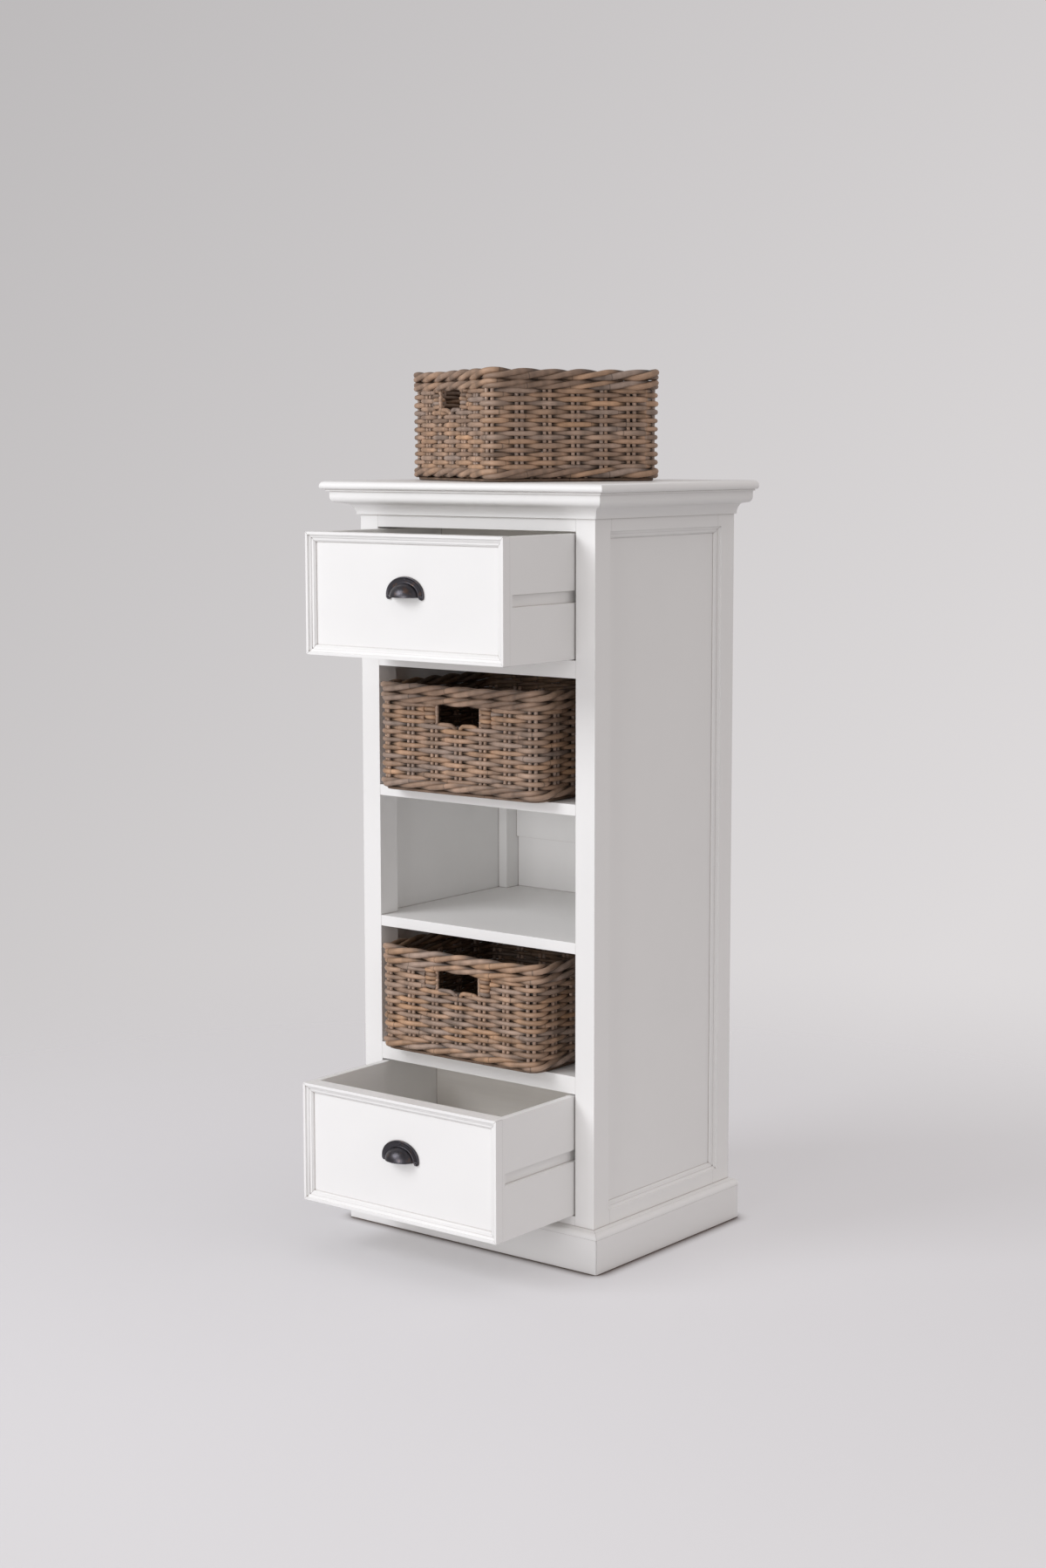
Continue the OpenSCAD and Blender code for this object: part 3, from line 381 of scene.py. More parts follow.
# The slotted screws, as an instance on three places: over the cup and in both ears
screw_tree, given = new_tree("slotted_screws", {
    "Head radius": 2.25 * mm, "Head rise": 1.2 * mm, "Shank radius": 1.4 * mm, "Shank length": 14.4 * mm,
    "Slot width": 0.7 * mm, "Side": ear_side, "Side level": ear_level, "Top level": 27.25 * mm, "Face": 0.0,
    "Mouth": 0.0})
tree = screw_tree
dome = add(tree, "GeometryNodeMeshUVSphere", {"Segments": 24, "Rings": 12, "Radius": 1.0})
size = add(tree, "ShaderNodeCombineXYZ", {
    "X": given["Head radius"], "Y": given["Head radius"], "Z": given["Head rise"]})
dome = add(tree, "GeometryNodeTransform", {"Geometry": dome, "Scale": size})
size = add(tree, "ShaderNodeCombineXYZ", {"X": cutter_reach, "Y": given["Slot width"], "Z": cutter_depth})
slot = add(tree, "GeometryNodeMeshCube", {"Size": size})
place = add(tree, "ShaderNodeCombineXYZ", {"Z": given["Head rise"]})
slot = add(tree, "GeometryNodeTransform", {"Geometry": slot, "Translation": place})
under = add(tree, "GeometryNodeMeshCube", {"Size": (cutter_reach, cutter_reach, block_depth)})
under = add(tree, "GeometryNodeTransform", {"Geometry": under, "Translation": (0.0, 0.0, -block_depth / 2)})
head = add(tree, "GeometryNodeMeshBoolean", {"Mesh 1": dome, "Mesh 2": [slot, under]},
           operation="DIFFERENCE")
shank = add(tree, "GeometryNodeMeshCylinder", {
    "Vertices": 16, "Radius": given["Shank radius"], "Depth": given["Shank length"]})
place = add(tree, "ShaderNodeMath", {0: given["Shank length"], 1: -0.5}, operation="MULTIPLY")
place = add(tree, "ShaderNodeCombineXYZ", {"Z": place})
shank = add(tree, "GeometryNodeTransform", {"Geometry": shank, "Translation": place})
screw = add(tree, "GeometryNodeJoinGeometry", {"Geometry": [head, shank]})
number = add(tree, "GeometryNodeInputIndex")
first = add(tree, "FunctionNodeCompare", {"A": number, "B": 0.5}, operation="LESS_THAN")
side = add(tree, "ShaderNodeMath", {0: number, 1: 2.0, 2: -3.0}, operation="MULTIPLY_ADD")
side = add(tree, "ShaderNodeMath", {0: side, 1: given["Side"]}, operation="MULTIPLY")
x = add(tree, "GeometryNodeSwitch", {"Switch": first, "False": side, "True": 0.0}, input_type="FLOAT")
z = add(tree, "GeometryNodeSwitch", {
    "Switch": first, "False": given["Side level"], "True": given["Top level"]}, input_type="FLOAT")
z = add(tree, "ShaderNodeMath", {0: z, 1: given["Mouth"]})
spot = add(tree, "ShaderNodeCombineXYZ", {"X": x, "Y": given["Face"], "Z": z})
spots = add(tree, "GeometryNodeMeshLine", {"Count": 3})
spots = add(tree, "GeometryNodeSetPosition", {"Geometry": spots, "Position": spot})
# Heads look forwards, each with its slot turned at random
turn = add(tree, "FunctionNodeRandomValue", {0: (math.pi / 2, 0.0, 0.0), 1: (math.pi / 2, math.pi, 0.0),
                                             "Seed": 5}, data_type="FLOAT_VECTOR").outputs[0]
screws = add(tree, "GeometryNodeInstanceOnPoints", {"Points": spots, "Instance": screw, "Rotation": turn})
screws = add(tree, "GeometryNodeRealizeInstances", {"Geometry": screws})
screws = add(tree, "GeometryNodeSetMaterial", {"Geometry": screws, "Material": dark_bronze})
add(tree, "NodeGroupOutput", {0: screws})


def baked(host):
    """The plain mesh of an object with its modifiers, which the object then gives up."""
    graph = bpy.context.evaluated_depsgraph_get()
    mesh = bpy.data.meshes.new_from_object(host.evaluated_get(graph), depsgraph=graph)
    bpy.data.objects.remove(host)
    return mesh


def grown(tree, values, name):
    """The plain mesh that a tree makes from these values of its inputs."""
    host = linked(tree.name, bpy.data.meshes.new(tree.name))
    modifier = host.modifiers.new(tree.name, "NODES")
    modifier.node_group = tree
    for item in tree.interface.items_tree:
        if item.name in values:
            modifier[item.identifier] = values[item.name]
    mesh = baked(host)
    mesh.name = name
    return mesh


def arc(middle, wide, tall, degrees):
    """Points of an arc on the front panel, as pairs of side and height."""
    turns = [math.radians(a) for a in degrees]
    return [(middle[0] + wide * math.cos(t), middle[1] + tall * math.sin(t)) for t in turns]


# The rim runs up one ear, over the flange and down round the other ear
right_ear = arc((ear_side, ear_level), ear_round - rim_inset, ear_round - rim_inset, range(-180, 1, 15))
arch = arc((0.0, rim_centre), pull_half_w - rim_inset, rim_rise - rim_inset, range(0, 181, 4))
left_ear = [(-x, z) for x, z in reversed(right_ear)]
rim_points = right_ear + arch + left_ear

for level in ("lower", "upper"):
    low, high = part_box(f"{level}_cup_pull")
    mouth = low[2] + ear_drop
    face = high[1] - flange_face
    rim_curve = bpy.data.curves.new("rim", "CURVE")
    rim_curve.dimensions = "3D"
    rim_curve.bevel_depth = rim_radius
    rim_curve.bevel_resolution = 3
    rim_curve.use_fill_caps = True
    spline = rim_curve.splines.new("POLY")
    spline.points.add(len(rim_points) - 1)
    for point, (x, z) in zip(spline.points, rim_points):
        point.co = (x, face, mouth + z, 1.0)
    casting_mesh = bmesh.new()
    casting_mesh.from_mesh(nodes[f"{level}_cup_pull"].data)
    bmesh.ops.remove_doubles(casting_mesh, verts=casting_mesh.verts, dist=weld_gap)
    casting_mesh.from_mesh(baked(linked("rim", rim_curve)))
    mesh = bpy.data.meshes.new(f"cast_{level}_cup_pull")
    casting_mesh.to_mesh(mesh)
    casting_mesh.free()
    host = linked(mesh.name, mesh)
    skin = host.modifiers.new("cast_skin", "REMESH")
    skin.mode = "VOXEL"
    skin.voxel_size = casting_grain
    skin.use_smooth_shade = True
    soft = host.modifiers.new("rounded_corners", "SMOOTH")
    soft.factor = 0.5
    soft.iterations = 3
    mesh = baked(host)
    mesh.name = f"cast_{level}_cup_pull"
    mesh.materials.clear()
    mesh.materials.append(dark_bronze)
    mesh.shade_smooth()
    pull = linked(mesh.name, mesh)
    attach(pull, f"{level}_drawer")
    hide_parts(f"{level}_cup_pull")

    mesh = grown(screw_tree, {"Face": face, "Mouth": mouth}, f"slotted_{level}_pull_screws")
    mesh.shade_smooth()
    mesh.set_sharp_from_angle(angle=head_turn)
    screws = linked(mesh.name, mesh)
    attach(screws, f"{level}_drawer")
    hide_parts(f"{level}_pull_screws")

# Baskets: weathered grey-brown rattan woven by hand. Pairs of thin rods stand at equal steps round the
# wall, and rows of thicker cane pass before one pair and behind the next, so every second row bulges
# at the same pair and grows thin beside it. All of it is swept along the basket's outline.
basket_wide = 334 * mm
basket_deep = 308 * mm
basket_corner = 28 * mm
stake_inset = 8.3 * mm
stake_pairs = 24
stake_gap = 8.9 * mm
leaf_ring_step = 230 * mm
leaf_ring_dark = 0.45
thickness_wander = 0.7
row_fatness = (0.93, 1.07)
rod_tones = (0.5, 0.7)
bend_power = 5.0

weathered_cane, tree = new_material("weathered_grey_rattan_cane")
strand, run, turn, grime = (add(tree, "ShaderNodeAttribute", attribute_name=name).outputs["Fac"]
                            for name in ("cane", "run", "round", "grime"))
# Each cane has its own tone: grey-brown, lilac grey, tan or an orange tan
cane_tones = ((0.0, "#876e5b"), (0.2, "#a88b76"), (0.4, "#bd987a"), (0.6, "#a69183"), (0.8, "#c69d7a"),
              (1.0, "#af927d"))
tones = add(tree, "ShaderNodeValToRGB", {"Fac": strand})
ramp = tones.color_ramp
ramp.interpolation = "LINEAR"
while len(ramp.elements) < len(cane_tones):
    ramp.elements.new(0.5)
for element, (position, code) in zip(ramp.elements, cane_tones):
    element.position = position
    element.color = linear(code)
# Blotches 30 mm long, fibres 0.5 mm wide and 12 mm long, and a dark ring where a leaf grew
place = add(tree, "ShaderNodeCombineXYZ", {"X": run, "Y": strand})
blotches = streaks(tree, place, (33.0, 60.0, 1.0), 3.0)
place = add(tree, "ShaderNodeCombineXYZ", {"X": run, "Y": turn, "Z": strand})
fibres = streaks(tree, place, (80.0, 22.0, 60.0), 3.0)
rings = add(tree, "ShaderNodeMath", {0: run, 1: 1 / leaf_ring_step, 2: strand}, operation="MULTIPLY_ADD")
rings = add(tree, "ShaderNodeMath", {0: rings}, operation="FRACT")
rings = add(tree, "ShaderNodeMath", {0: rings, 1: 0.5, 2: 0.004}, operation="COMPARE")
light = add(tree, "ShaderNodeMapRange", {
    "Value": blotches, "From Min": 0.3, "From Max": 0.7, "To Min": 0.45, "To Max": 1.13})
fibre_light = add(tree, "ShaderNodeMapRange", {
    "Value": fibres, "From Min": 0.3, "From Max": 0.7, "To Min": 0.8, "To Max": 1.15})
ring_light = add(tree, "ShaderNodeMath", {0: rings, 1: -leaf_ring_dark, 2: 1.0}, operation="MULTIPLY_ADD")
# Painted shade darkens a cane where it dives behind a rod, and in a border on the inner side of the rope,
# under the next cane
shade_factor = add(tree, "ShaderNodeMath", {0: 1.0, 1: grime}, operation="SUBTRACT")
for factor in (fibre_light, ring_light, shade_factor):
    light = add(tree, "ShaderNodeMath", {0: light, 1: factor}, operation="MULTIPLY")
tone = add(tree, "ShaderNodeVectorMath", {0: tones, "Scale": light}, operation="SCALE")
ridges = add(tree, "ShaderNodeBump", {"Height": fibres, "Strength": 0.35, "Distance": 0.3 * mm})
surface = add(tree, "ShaderNodeBsdfPrincipled", {
    "Base Color": tone, "Roughness": 0.55, "IOR": 1.5, "Normal": ridges})
add(tree, "ShaderNodeOutputMaterial", {"Surface": surface})

# The outline of the wall, run anticlockwise from the rear right corner, at an inset from the outer face
outline_sizes = {"Width": basket_wide, "Depth": basket_deep, "Corner radius": basket_corner,
                 "Inset": stake_inset}
outline_tree, given = new_tree("basket_outline", outline_sizes | {"Points": 288})
tree = outline_tree
wide, deep = (add(tree, "ShaderNodeMath", {0: given["Inset"], 1: -2.0, 2: given[side]},
                  operation="MULTIPLY_ADD") for side in ("Width", "Depth"))
corner = add(tree, "ShaderNodeMath", {0: given["Corner radius"], 1: given["Inset"]}, operation="SUBTRACT")
square = add(tree, "GeometryNodeCurvePrimitiveQuadrilateral", {"Width": wide, "Height": deep})
rounded = add(tree, "GeometryNodeFilletCurve", {"Curve": square, "Count": 10, "Radius": corner}, mode="POLY")
even = add(tree, "GeometryNodeResampleCurve", {"Curve": rounded, "Count": given["Points"]})
add(tree, "NodeGroupOutput", {0: even})

# Lays canes: gives each what its skin and its material need, its thickness, tone, place along it and
# painted shade, and moves it off its line
laid_tree, given = new_tree("laid_canes", {"Line": None, "Thickness": 0.0, "Tone": 0.0, "Run": 0.0,
                                           "Grime": 0.0, "Offset": (0.0, 0.0, 0.0)})
tree = laid_tree
laid = given["Line"]
for name, label in (("thick", "Thickness"), ("cane", "Tone"), ("run", "Run"), ("grime", "Grime")):
    laid = add(tree, "GeometryNodeStoreNamedAttribute", {
        "Geometry": laid, "Name": name, "Value": given[label]})
laid = add(tree, "GeometryNodeSetPosition", {"Geometry": laid, "Offset": given["Offset"]})
add(tree, "NodeGroupOutput", {0: laid})

# A cane's round skin along its line. The section carries its own turn round the cane, for the fibres
skin_tree, given = new_tree("cane_skin", {"Line": None, "Sides": 7, "Radius": 1.0, "Capped": True})
tree = skin_tree
ring = add(tree, "GeometryNodeCurvePrimitiveCircle", {"Resolution": given["Sides"], "Radius": 1.0})
share = add(tree, "GeometryNodeSplineParameter").outputs["Factor"]
ring = add(tree, "GeometryNodeStoreNamedAttribute", {"Geometry": ring, "Name": "round", "Value": share})
skin = add(tree, "GeometryNodeCurveToMesh", {
    "Curve": given["Line"], "Profile Curve": ring, "Scale": given["Radius"], "Fill Caps": given["Capped"]})
add(tree, "NodeGroupOutput", {0: skin})

# Keeps each cane's own painted shade to its outer side; the side that looks into the basket is darker all
# over, painted shade too
outside_tree, given = new_tree("inner_side_shade", {"Canes": None, "Inside shade": 0.45})
tree = outside_tree
away = add(tree, "ShaderNodeVectorMath", {0: add(tree, "GeometryNodeInputPosition"), 1: (1.0, 1.0, 0.0)},
           operation="MULTIPLY")
away = add(tree, "ShaderNodeVectorMath", {0: away}, operation="NORMALIZE")
outward = add(tree, "ShaderNodeVectorMath", {0: add(tree, "GeometryNodeInputNormal"), 1: away},
              operation="DOT_PRODUCT").outputs["Value"]
grime = add(tree, "GeometryNodeInputNamedAttribute", {"Name": "grime"})
grime = add(tree, "ShaderNodeMapRange", {
    "Value": outward, "From Min": -0.2, "From Max": 0.3, "To Min": given["Inside shade"], "To Max": grime})
canes = add(tree, "GeometryNodeStoreNamedAttribute", {
    "Geometry": given["Canes"], "Name": "grime", "Value": grime})
add(tree, "NodeGroupOutput", {0: canes})


def traced(tree, given, points):
    """The basket's outline at this tree's own sizes and inset."""
    sizes = {label: given[label] for label in outline_sizes}
    return add(tree, "GeometryNodeGroup", sizes | {"Points": points}, node_tree=outline_tree)


def staked(tree, given):
    """The line of the rods, its length, the distance from its start to mid front, and the pairs' step."""
    outline = traced(tree, given, points=288)
    around = add(tree, "GeometryNodeCurveLength", {"Curve": outline})
    # Three quarters of the way round, less half the flat part of a side
    flat = add(tree, "ShaderNodeMath", {0: given["Corner radius"], 1: -2.0, 2: given["Depth"]},
               operation="MULTIPLY_ADD")
    half = add(tree, "ShaderNodeMath", {0: flat, 1: -0.5}, operation="MULTIPLY")
    front = add(tree, "ShaderNodeMath", {0: around, 1: 0.75, 2: half}, operation="MULTIPLY_ADD")
    step = add(tree, "ShaderNodeMath", {0: around, 1: given["Stake pairs"]}, operation="DIVIDE")
    return outline, around, front, step


def caned(tree, line, radius, marks, sides=7, capped=True):
    """Canes on these lines, with the marks that laid canes carry and a round skin."""
    laid = add(tree, "GeometryNodeGroup", {"Line": line} | marks, node_tree=laid_tree)
    return add(tree, "GeometryNodeGroup", {
        "Line": laid, "Sides": sides, "Radius": radius, "Capped": capped}, node_tree=skin_tree)


def drifting(tree, number, seed, apart, scale, detail):
    """A slow wander of each cane in three directions, from minus to plus a half."""
    key = add(tree, "ShaderNodeMath", {0: number, 1: apart, 2: seed}, operation="MULTIPLY_ADD")
    noise = add(tree, "ShaderNodeTexNoise", {"W": key, "Scale": scale, "Detail": detail},
                noise_dimensions="4D")
    return add(tree, "ShaderNodeVectorMath", {0: noise.outputs["Color"], 1: (0.5, 0.5, 0.5)},
               operation="SUBTRACT")


def out_and_up(tree, outward, upward):
    """A move outwards from the outline, and up."""
    along = add(tree, "GeometryNodeInputTangent")
    facing = add(tree, "ShaderNodeVectorMath", {0: along, 1: (0.0, 0.0, 1.0)}, operation="CROSS_PRODUCT")
    sideways = add(tree, "ShaderNodeVectorMath", {0: facing, "Scale": outward}, operation="SCALE")
    lift = add(tree, "ShaderNodeCombineXYZ", {"Z": upward})
    return add(tree, "ShaderNodeVectorMath", {0: sideways, 1: lift})


def at_hole(tree, given):
    """The places, and whether each lies at the hand hole in the front, at any height."""
    here = add(tree, "ShaderNodeSeparateXYZ", {0: add(tree, "GeometryNodeInputPosition")}).outputs
    beside = add(tree, "ShaderNodeMath", {0: here["X"]}, operation="ABSOLUTE")
    beside = add(tree, "FunctionNodeCompare", {"A": beside, "B": given["Hole half width"]},
                 operation="LESS_THAN")
    ahead = add(tree, "FunctionNodeCompare", {"A": here["Y"], "B": 0.0}, operation="LESS_THAN")
    return here, add(tree, "FunctionNodeBooleanMath", {0: beside, 1: ahead}, operation="AND")


# The woven wall, cut open for the hand hole. A row has fewer bulges than its share of the keys
bulge_keys = 64.0
bulge_share = 0.45
wall_tree, given = new_tree("woven_wall", outline_sizes | {
    "Stake pairs": stake_pairs, "Rows": 19, "First row": 23 * mm, "Row pitch": 6.65 * mm,
    "Cane radius": 4.3 * mm, "Swing": 4 * mm, "Wander": 2.6 * mm, "Hole half width": 67 * mm,
    "Hole bottom": 115 * mm, "Seed": 1})
tree = wall_tree
outline, _, front, pair_step = staked(tree, given)
rows = add(tree, "GeometryNodeDuplicateElements", {"Geometry": outline, "Amount": given["Rows"]},
           domain="SPLINE")
row = rows.outputs["Duplicate Index"]
length = add(tree, "GeometryNodeSplineParameter").outputs["Length"]
phase = length
for operation, by in (("SUBTRACT", front), ("DIVIDE", pair_step), ("ADD", row)):
    phase = add(tree, "ShaderNodeMath", {0: phase, 1: by}, operation=operation)
wave = add(tree, "ShaderNodeMath", {0: phase, 1: math.pi}, operation="MULTIPLY")
wave = add(tree, "ShaderNodeMath", {0: wave}, operation="COSINE")
# Slow wander of each row in and out, up and down, and in thickness
drift = drifting(tree, row, given["Seed"], apart=3.17, scale=16.0, detail=1.0)
drift = add(tree, "ShaderNodeSeparateXYZ", {0: drift}).outputs
outward = add(tree, "ShaderNodeMath", {0: wave, 1: given["Swing"]}, operation="MULTIPLY")
outward = add(tree, "ShaderNodeMath", {0: drift["X"], 1: given["Wander"], 2: outward},
              operation="MULTIPLY_ADD")
height = add(tree, "ShaderNodeMath", {0: row, 1: given["Row pitch"], 2: given["First row"]},
             operation="MULTIPLY_ADD")
height = add(tree, "ShaderNodeMath", {0: drift["Y"], 1: given["Wander"], 2: height},
             operation="MULTIPLY_ADD")
fatness = add(tree, "FunctionNodeRandomValue", {
    2: row_fatness[0], 3: row_fatness[1], "ID": row, "Seed": given["Seed"]})
wobble = add(tree, "ShaderNodeMath", {0: drift["Z"], 1: thickness_wander, 2: fatness.outputs[1]},
             operation="MULTIPLY_ADD")
thickness = add(tree, "ShaderNodeMapRange", {
    "Value": wave, "From Min": -1.0, "From Max": 0.2, "To Min": 0.66, "To Max": 1.0})
for factor in (wobble, given["Cane radius"]):
    thickness = add(tree, "ShaderNodeMath", {0: thickness, 1: factor}, operation="MULTIPLY")
# One key for each bulge of a row, so that the tone changes where the cane is hidden
bulge = add(tree, "ShaderNodeMath", {0: phase, 1: 0.5, 2: 0.5}, operation="MULTIPLY_ADD")
bulge = add(tree, "ShaderNodeMath", {0: bulge}, operation="FLOOR")
bulge = add(tree, "ShaderNodeMath", {0: row, 1: bulge_keys, 2: bulge}, operation="MULTIPLY_ADD")
bulge_tone, row_tone = (add(tree, "FunctionNodeRandomValue", {"ID": key, "Seed": given["Seed"]}).outputs[1]
                        for key in (bulge, row))
tone = add(tree, "ShaderNodeMath", {0: bulge_tone, 1: bulge_share}, operation="MULTIPLY")
tone = add(tree, "ShaderNodeMath", {0: row_tone, 1: 1 - bulge_share, 2: tone}, operation="MULTIPLY_ADD")
# Painted shade where a row dives behind the rods, into the wall's hollows
grime = add(tree, "ShaderNodeMapRange", {
    "Value": wave, "From Min": -0.9, "From Max": -0.3, "To Min": 0.95, "To Max": 0.0})
laid = add(tree, "GeometryNodeGroup", {
    "Line": rows, "Thickness": thickness, "Tone": tone, "Run": length, "Grime": grime,
    "Offset": out_and_up(tree, outward, height)}, node_tree=laid_tree)
wire = add(tree, "GeometryNodeCurveToMesh", {"Curve": laid})
here, hole = at_hole(tree, given)
above = add(tree, "FunctionNodeCompare", {"A": here["Z"], "B": given["Hole bottom"]})
hole = add(tree, "FunctionNodeBooleanMath", {0: hole, 1: above}, operation="AND")
opened = add(tree, "GeometryNodeDeleteGeometry", {"Geometry": wire, "Selection": hole})
opened = add(tree, "GeometryNodeMeshToCurve", {"Mesh": opened})
thick = add(tree, "GeometryNodeInputNamedAttribute", {"Name": "thick"})
swept = add(tree, "GeometryNodeGroup", {"Line": opened, "Sides": 8, "Radius": thick}, node_tree=skin_tree)
swept = add(tree, "GeometryNodeGroup", {"Canes": swept}, node_tree=outside_tree)
add(tree, "NodeGroupOutput", {0: swept})


def paired(tree):
    """The pair that each rod belongs to by its number, and minus or plus a half for its place there."""
    half = add(tree, "ShaderNodeMath", {0: add(tree, "GeometryNodeInputIndex"), 1: 0.5}, operation="MULTIPLY")
    pair = add(tree, "ShaderNodeMath", {0: half}, operation="FLOOR")
    side = add(tree, "ShaderNodeMath", {0: half, 1: pair}, operation="SUBTRACT")
    return pair, add(tree, "ShaderNodeMath", {0: side, 1: 2.0, 2: -0.5}, operation="MULTIPLY_ADD")


# Rods in pairs, cut short under the hand hole. Each leans a little, and a negative painted shade draws it
# lighter than the canes
rod_lean = 0.012
rod_lightening = -0.2
rods_tree, given = new_tree("standing_rods", outline_sizes | {
    "Stake pairs": stake_pairs, "Gap": stake_gap, "Rod radius": 3.4 * mm, "Bottom": 8 * mm, "Top": 150 * mm,
    "Hole half width": 30 * mm, "Hole bottom": 111 * mm, "Seed": 1})
tree = rods_tree
outline, around, front, pair_step = staked(tree, given)
pair, side = paired(tree)
along = add(tree, "ShaderNodeMath", {0: pair, 1: pair_step, 2: front}, operation="MULTIPLY_ADD")
along = add(tree, "ShaderNodeMath", {0: side, 1: given["Gap"], 2: along}, operation="MULTIPLY_ADD")
share = add(tree, "ShaderNodeMath", {0: along, 1: around}, operation="DIVIDE")
share = add(tree, "ShaderNodeMath", {0: share}, operation="FRACT")
stand = add(tree, "GeometryNodeSampleCurve", {"Curves": outline, "Factor": share}, mode="FACTOR")
count = add(tree, "ShaderNodeMath", {0: given["Stake pairs"], 1: 2.0}, operation="MULTIPLY")
spots = add(tree, "GeometryNodeMeshLine", {"Count": count})
lift = add(tree, "ShaderNodeCombineXYZ", {"Z": given["Bottom"]})
spots = add(tree, "GeometryNodeSetPosition", {
    "Geometry": spots, "Position": stand.outputs["Position"], "Offset": lift})
line = add(tree, "GeometryNodeCurvePrimitiveLine", {"Start": (0.0, 0.0, 0.0), "End": (0.0, 0.0, 1.0)})
line = add(tree, "GeometryNodeResampleCurve", {"Curve": line, "Count": 6})
share = add(tree, "GeometryNodeSplineParameter").outputs["Factor"]
line = add(tree, "GeometryNodeStoreNamedAttribute", {"Geometry": line, "Name": "run", "Value": share})
rod = add(tree, "GeometryNodeGroup", {"Line": line, "Radius": given["Rod radius"]}, node_tree=skin_tree)
_, hole = at_hole(tree, given)
top = add(tree, "GeometryNodeSwitch", {"Switch": hole, "False": given["Top"], "True": given["Hole bottom"]},
          input_type="FLOAT")
tall = add(tree, "ShaderNodeMath", {0: top, 1: given["Bottom"]}, operation="SUBTRACT")
size = add(tree, "ShaderNodeCombineXYZ", {"X": 1.0, "Y": 1.0, "Z": tall})
lean = add(tree, "FunctionNodeRandomValue", {0: (-rod_lean, -rod_lean, 0.0), 1: (rod_lean, rod_lean, 6.0),
                                             "Seed": given["Seed"]}, data_type="FLOAT_VECTOR").outputs[0]
rods = add(tree, "GeometryNodeInstanceOnPoints", {
    "Points": spots, "Instance": rod, "Rotation": lean, "Scale": size})
tone = add(tree, "FunctionNodeRandomValue", {
    2: rod_tones[0], 3: rod_tones[1], "Seed": given["Seed"]}).outputs[1]
for name, value in (("cane", tone), ("grime", rod_lightening)):
    rods = add(tree, "GeometryNodeStoreNamedAttribute", {"Geometry": rods, "Name": name, "Value": value},
               domain="INSTANCE")
rods = add(tree, "GeometryNodeRealizeInstances", {"Geometry": rods})
add(tree, "NodeGroupOutput", {0: rods})

# A border of canes laid round each other like a rope, rising or sagging a little at the corners
rope_tree, given = new_tree("rolled_border", outline_sizes | {
    "Inset": 6.5 * mm, "Height": 167.5 * mm, "Rope radius": 9.7 * mm, "Cane radius": 4.9 * mm, "Canes": 3,
    "Turns": 8, "Corner rise": 4 * mm, "Wander": 3.2 * mm, "Seed": 1})
tree = rope_tree
outline = traced(tree, given, points=300)
canes = add(tree, "GeometryNodeDuplicateElements", {"Geometry": outline, "Amount": given["Canes"]},
            domain="SPLINE")
cane = canes.outputs["Duplicate Index"]
spline = add(tree, "GeometryNodeSplineParameter").outputs
turns = add(tree, "ShaderNodeMath", {0: cane, 1: given["Canes"]}, operation="DIVIDE")
turns = add(tree, "ShaderNodeMath", {0: spline["Factor"], 1: given["Turns"], 2: turns},
            operation="MULTIPLY_ADD")
angle = add(tree, "ShaderNodeMath", {0: turns, 1: math.tau}, operation="MULTIPLY")
spoke = add(tree, "ShaderNodeMath", {0: given["Rope radius"], 1: given["Cane radius"]}, operation="SUBTRACT")
drift = drifting(tree, cane, given["Seed"], apart=5.3, scale=18.0, detail=1.0)
drift = add(tree, "ShaderNodeSeparateXYZ", {0: drift}).outputs
outer = add(tree, "ShaderNodeMath", {0: angle}, operation="COSINE")
outward = add(tree, "ShaderNodeMath", {0: outer, 1: spoke}, operation="MULTIPLY")
outward = add(tree, "ShaderNodeMath", {0: drift["X"], 1: given["Wander"], 2: outward},
              operation="MULTIPLY_ADD")
up = add(tree, "ShaderNodeMath", {0: angle}, operation="SINE")
up = add(tree, "ShaderNodeMath", {0: up, 1: spoke, 2: given["Height"]}, operation="MULTIPLY_ADD")
up = add(tree, "ShaderNodeMath", {0: drift["Y"], 1: given["Wander"], 2: up}, operation="MULTIPLY_ADD")
# Nearness to a corner: the product of both places as shares of the half width and the half depth
here = add(tree, "ShaderNodeSeparateXYZ", {0: add(tree, "GeometryNodeInputPosition")}).outputs
plan = add(tree, "ShaderNodeMath", {0: given["Width"], 1: given["Depth"]}, operation="MULTIPLY")
near = add(tree, "ShaderNodeMath", {0: here["X"], 1: here["Y"]}, operation="MULTIPLY")
near = add(tree, "ShaderNodeMath", {0: near}, operation="ABSOLUTE")
for operation, by in (("DIVIDE", plan), ("MULTIPLY", 4.0), ("POWER", bend_power)):
    near = add(tree, "ShaderNodeMath", {0: near, 1: by}, operation=operation)
up = add(tree, "ShaderNodeMath", {0: near, 1: given["Corner rise"], 2: up}, operation="MULTIPLY_ADD")
# The tone changes on the inner side of the rope, where one cane gives way to the next
lay = add(tree, "ShaderNodeMath", {0: turns, 1: 0.5})
lay = add(tree, "ShaderNodeMath", {0: lay}, operation="FLOOR")
lay = add(tree, "ShaderNodeMath", {0: lay, 1: given["Turns"]}, operation="FLOORED_MODULO")
lay = add(tree, "ShaderNodeMath", {0: lay, 1: given["Canes"], 2: cane}, operation="MULTIPLY_ADD")
tone = add(tree, "FunctionNodeRandomValue", {"ID": lay, "Seed": given["Seed"]}).outputs[1]
fatness = add(tree, "ShaderNodeMapRange", {
    "Value": outer, "From Min": -0.6, "From Max": 0.6, "To Min": 0.8, "To Max": 1.0})
thickness = add(tree, "ShaderNodeMath", {0: drift["Z"], 1: thickness_wander, 2: 1.0},
                operation="MULTIPLY_ADD")
for factor in (given["Cane radius"], fatness):
    thickness = add(tree, "ShaderNodeMath", {0: thickness, 1: factor}, operation="MULTIPLY")
# Painted shade on the inner side of the rope, in the grooves between its canes
grime = add(tree, "ShaderNodeMapRange", {
    "Value": outer, "From Min": -0.5, "From Max": 0.5, "To Min": 0.7, "To Max": 0.0})
thick = add(tree, "GeometryNodeInputNamedAttribute", {"Name": "thick"})
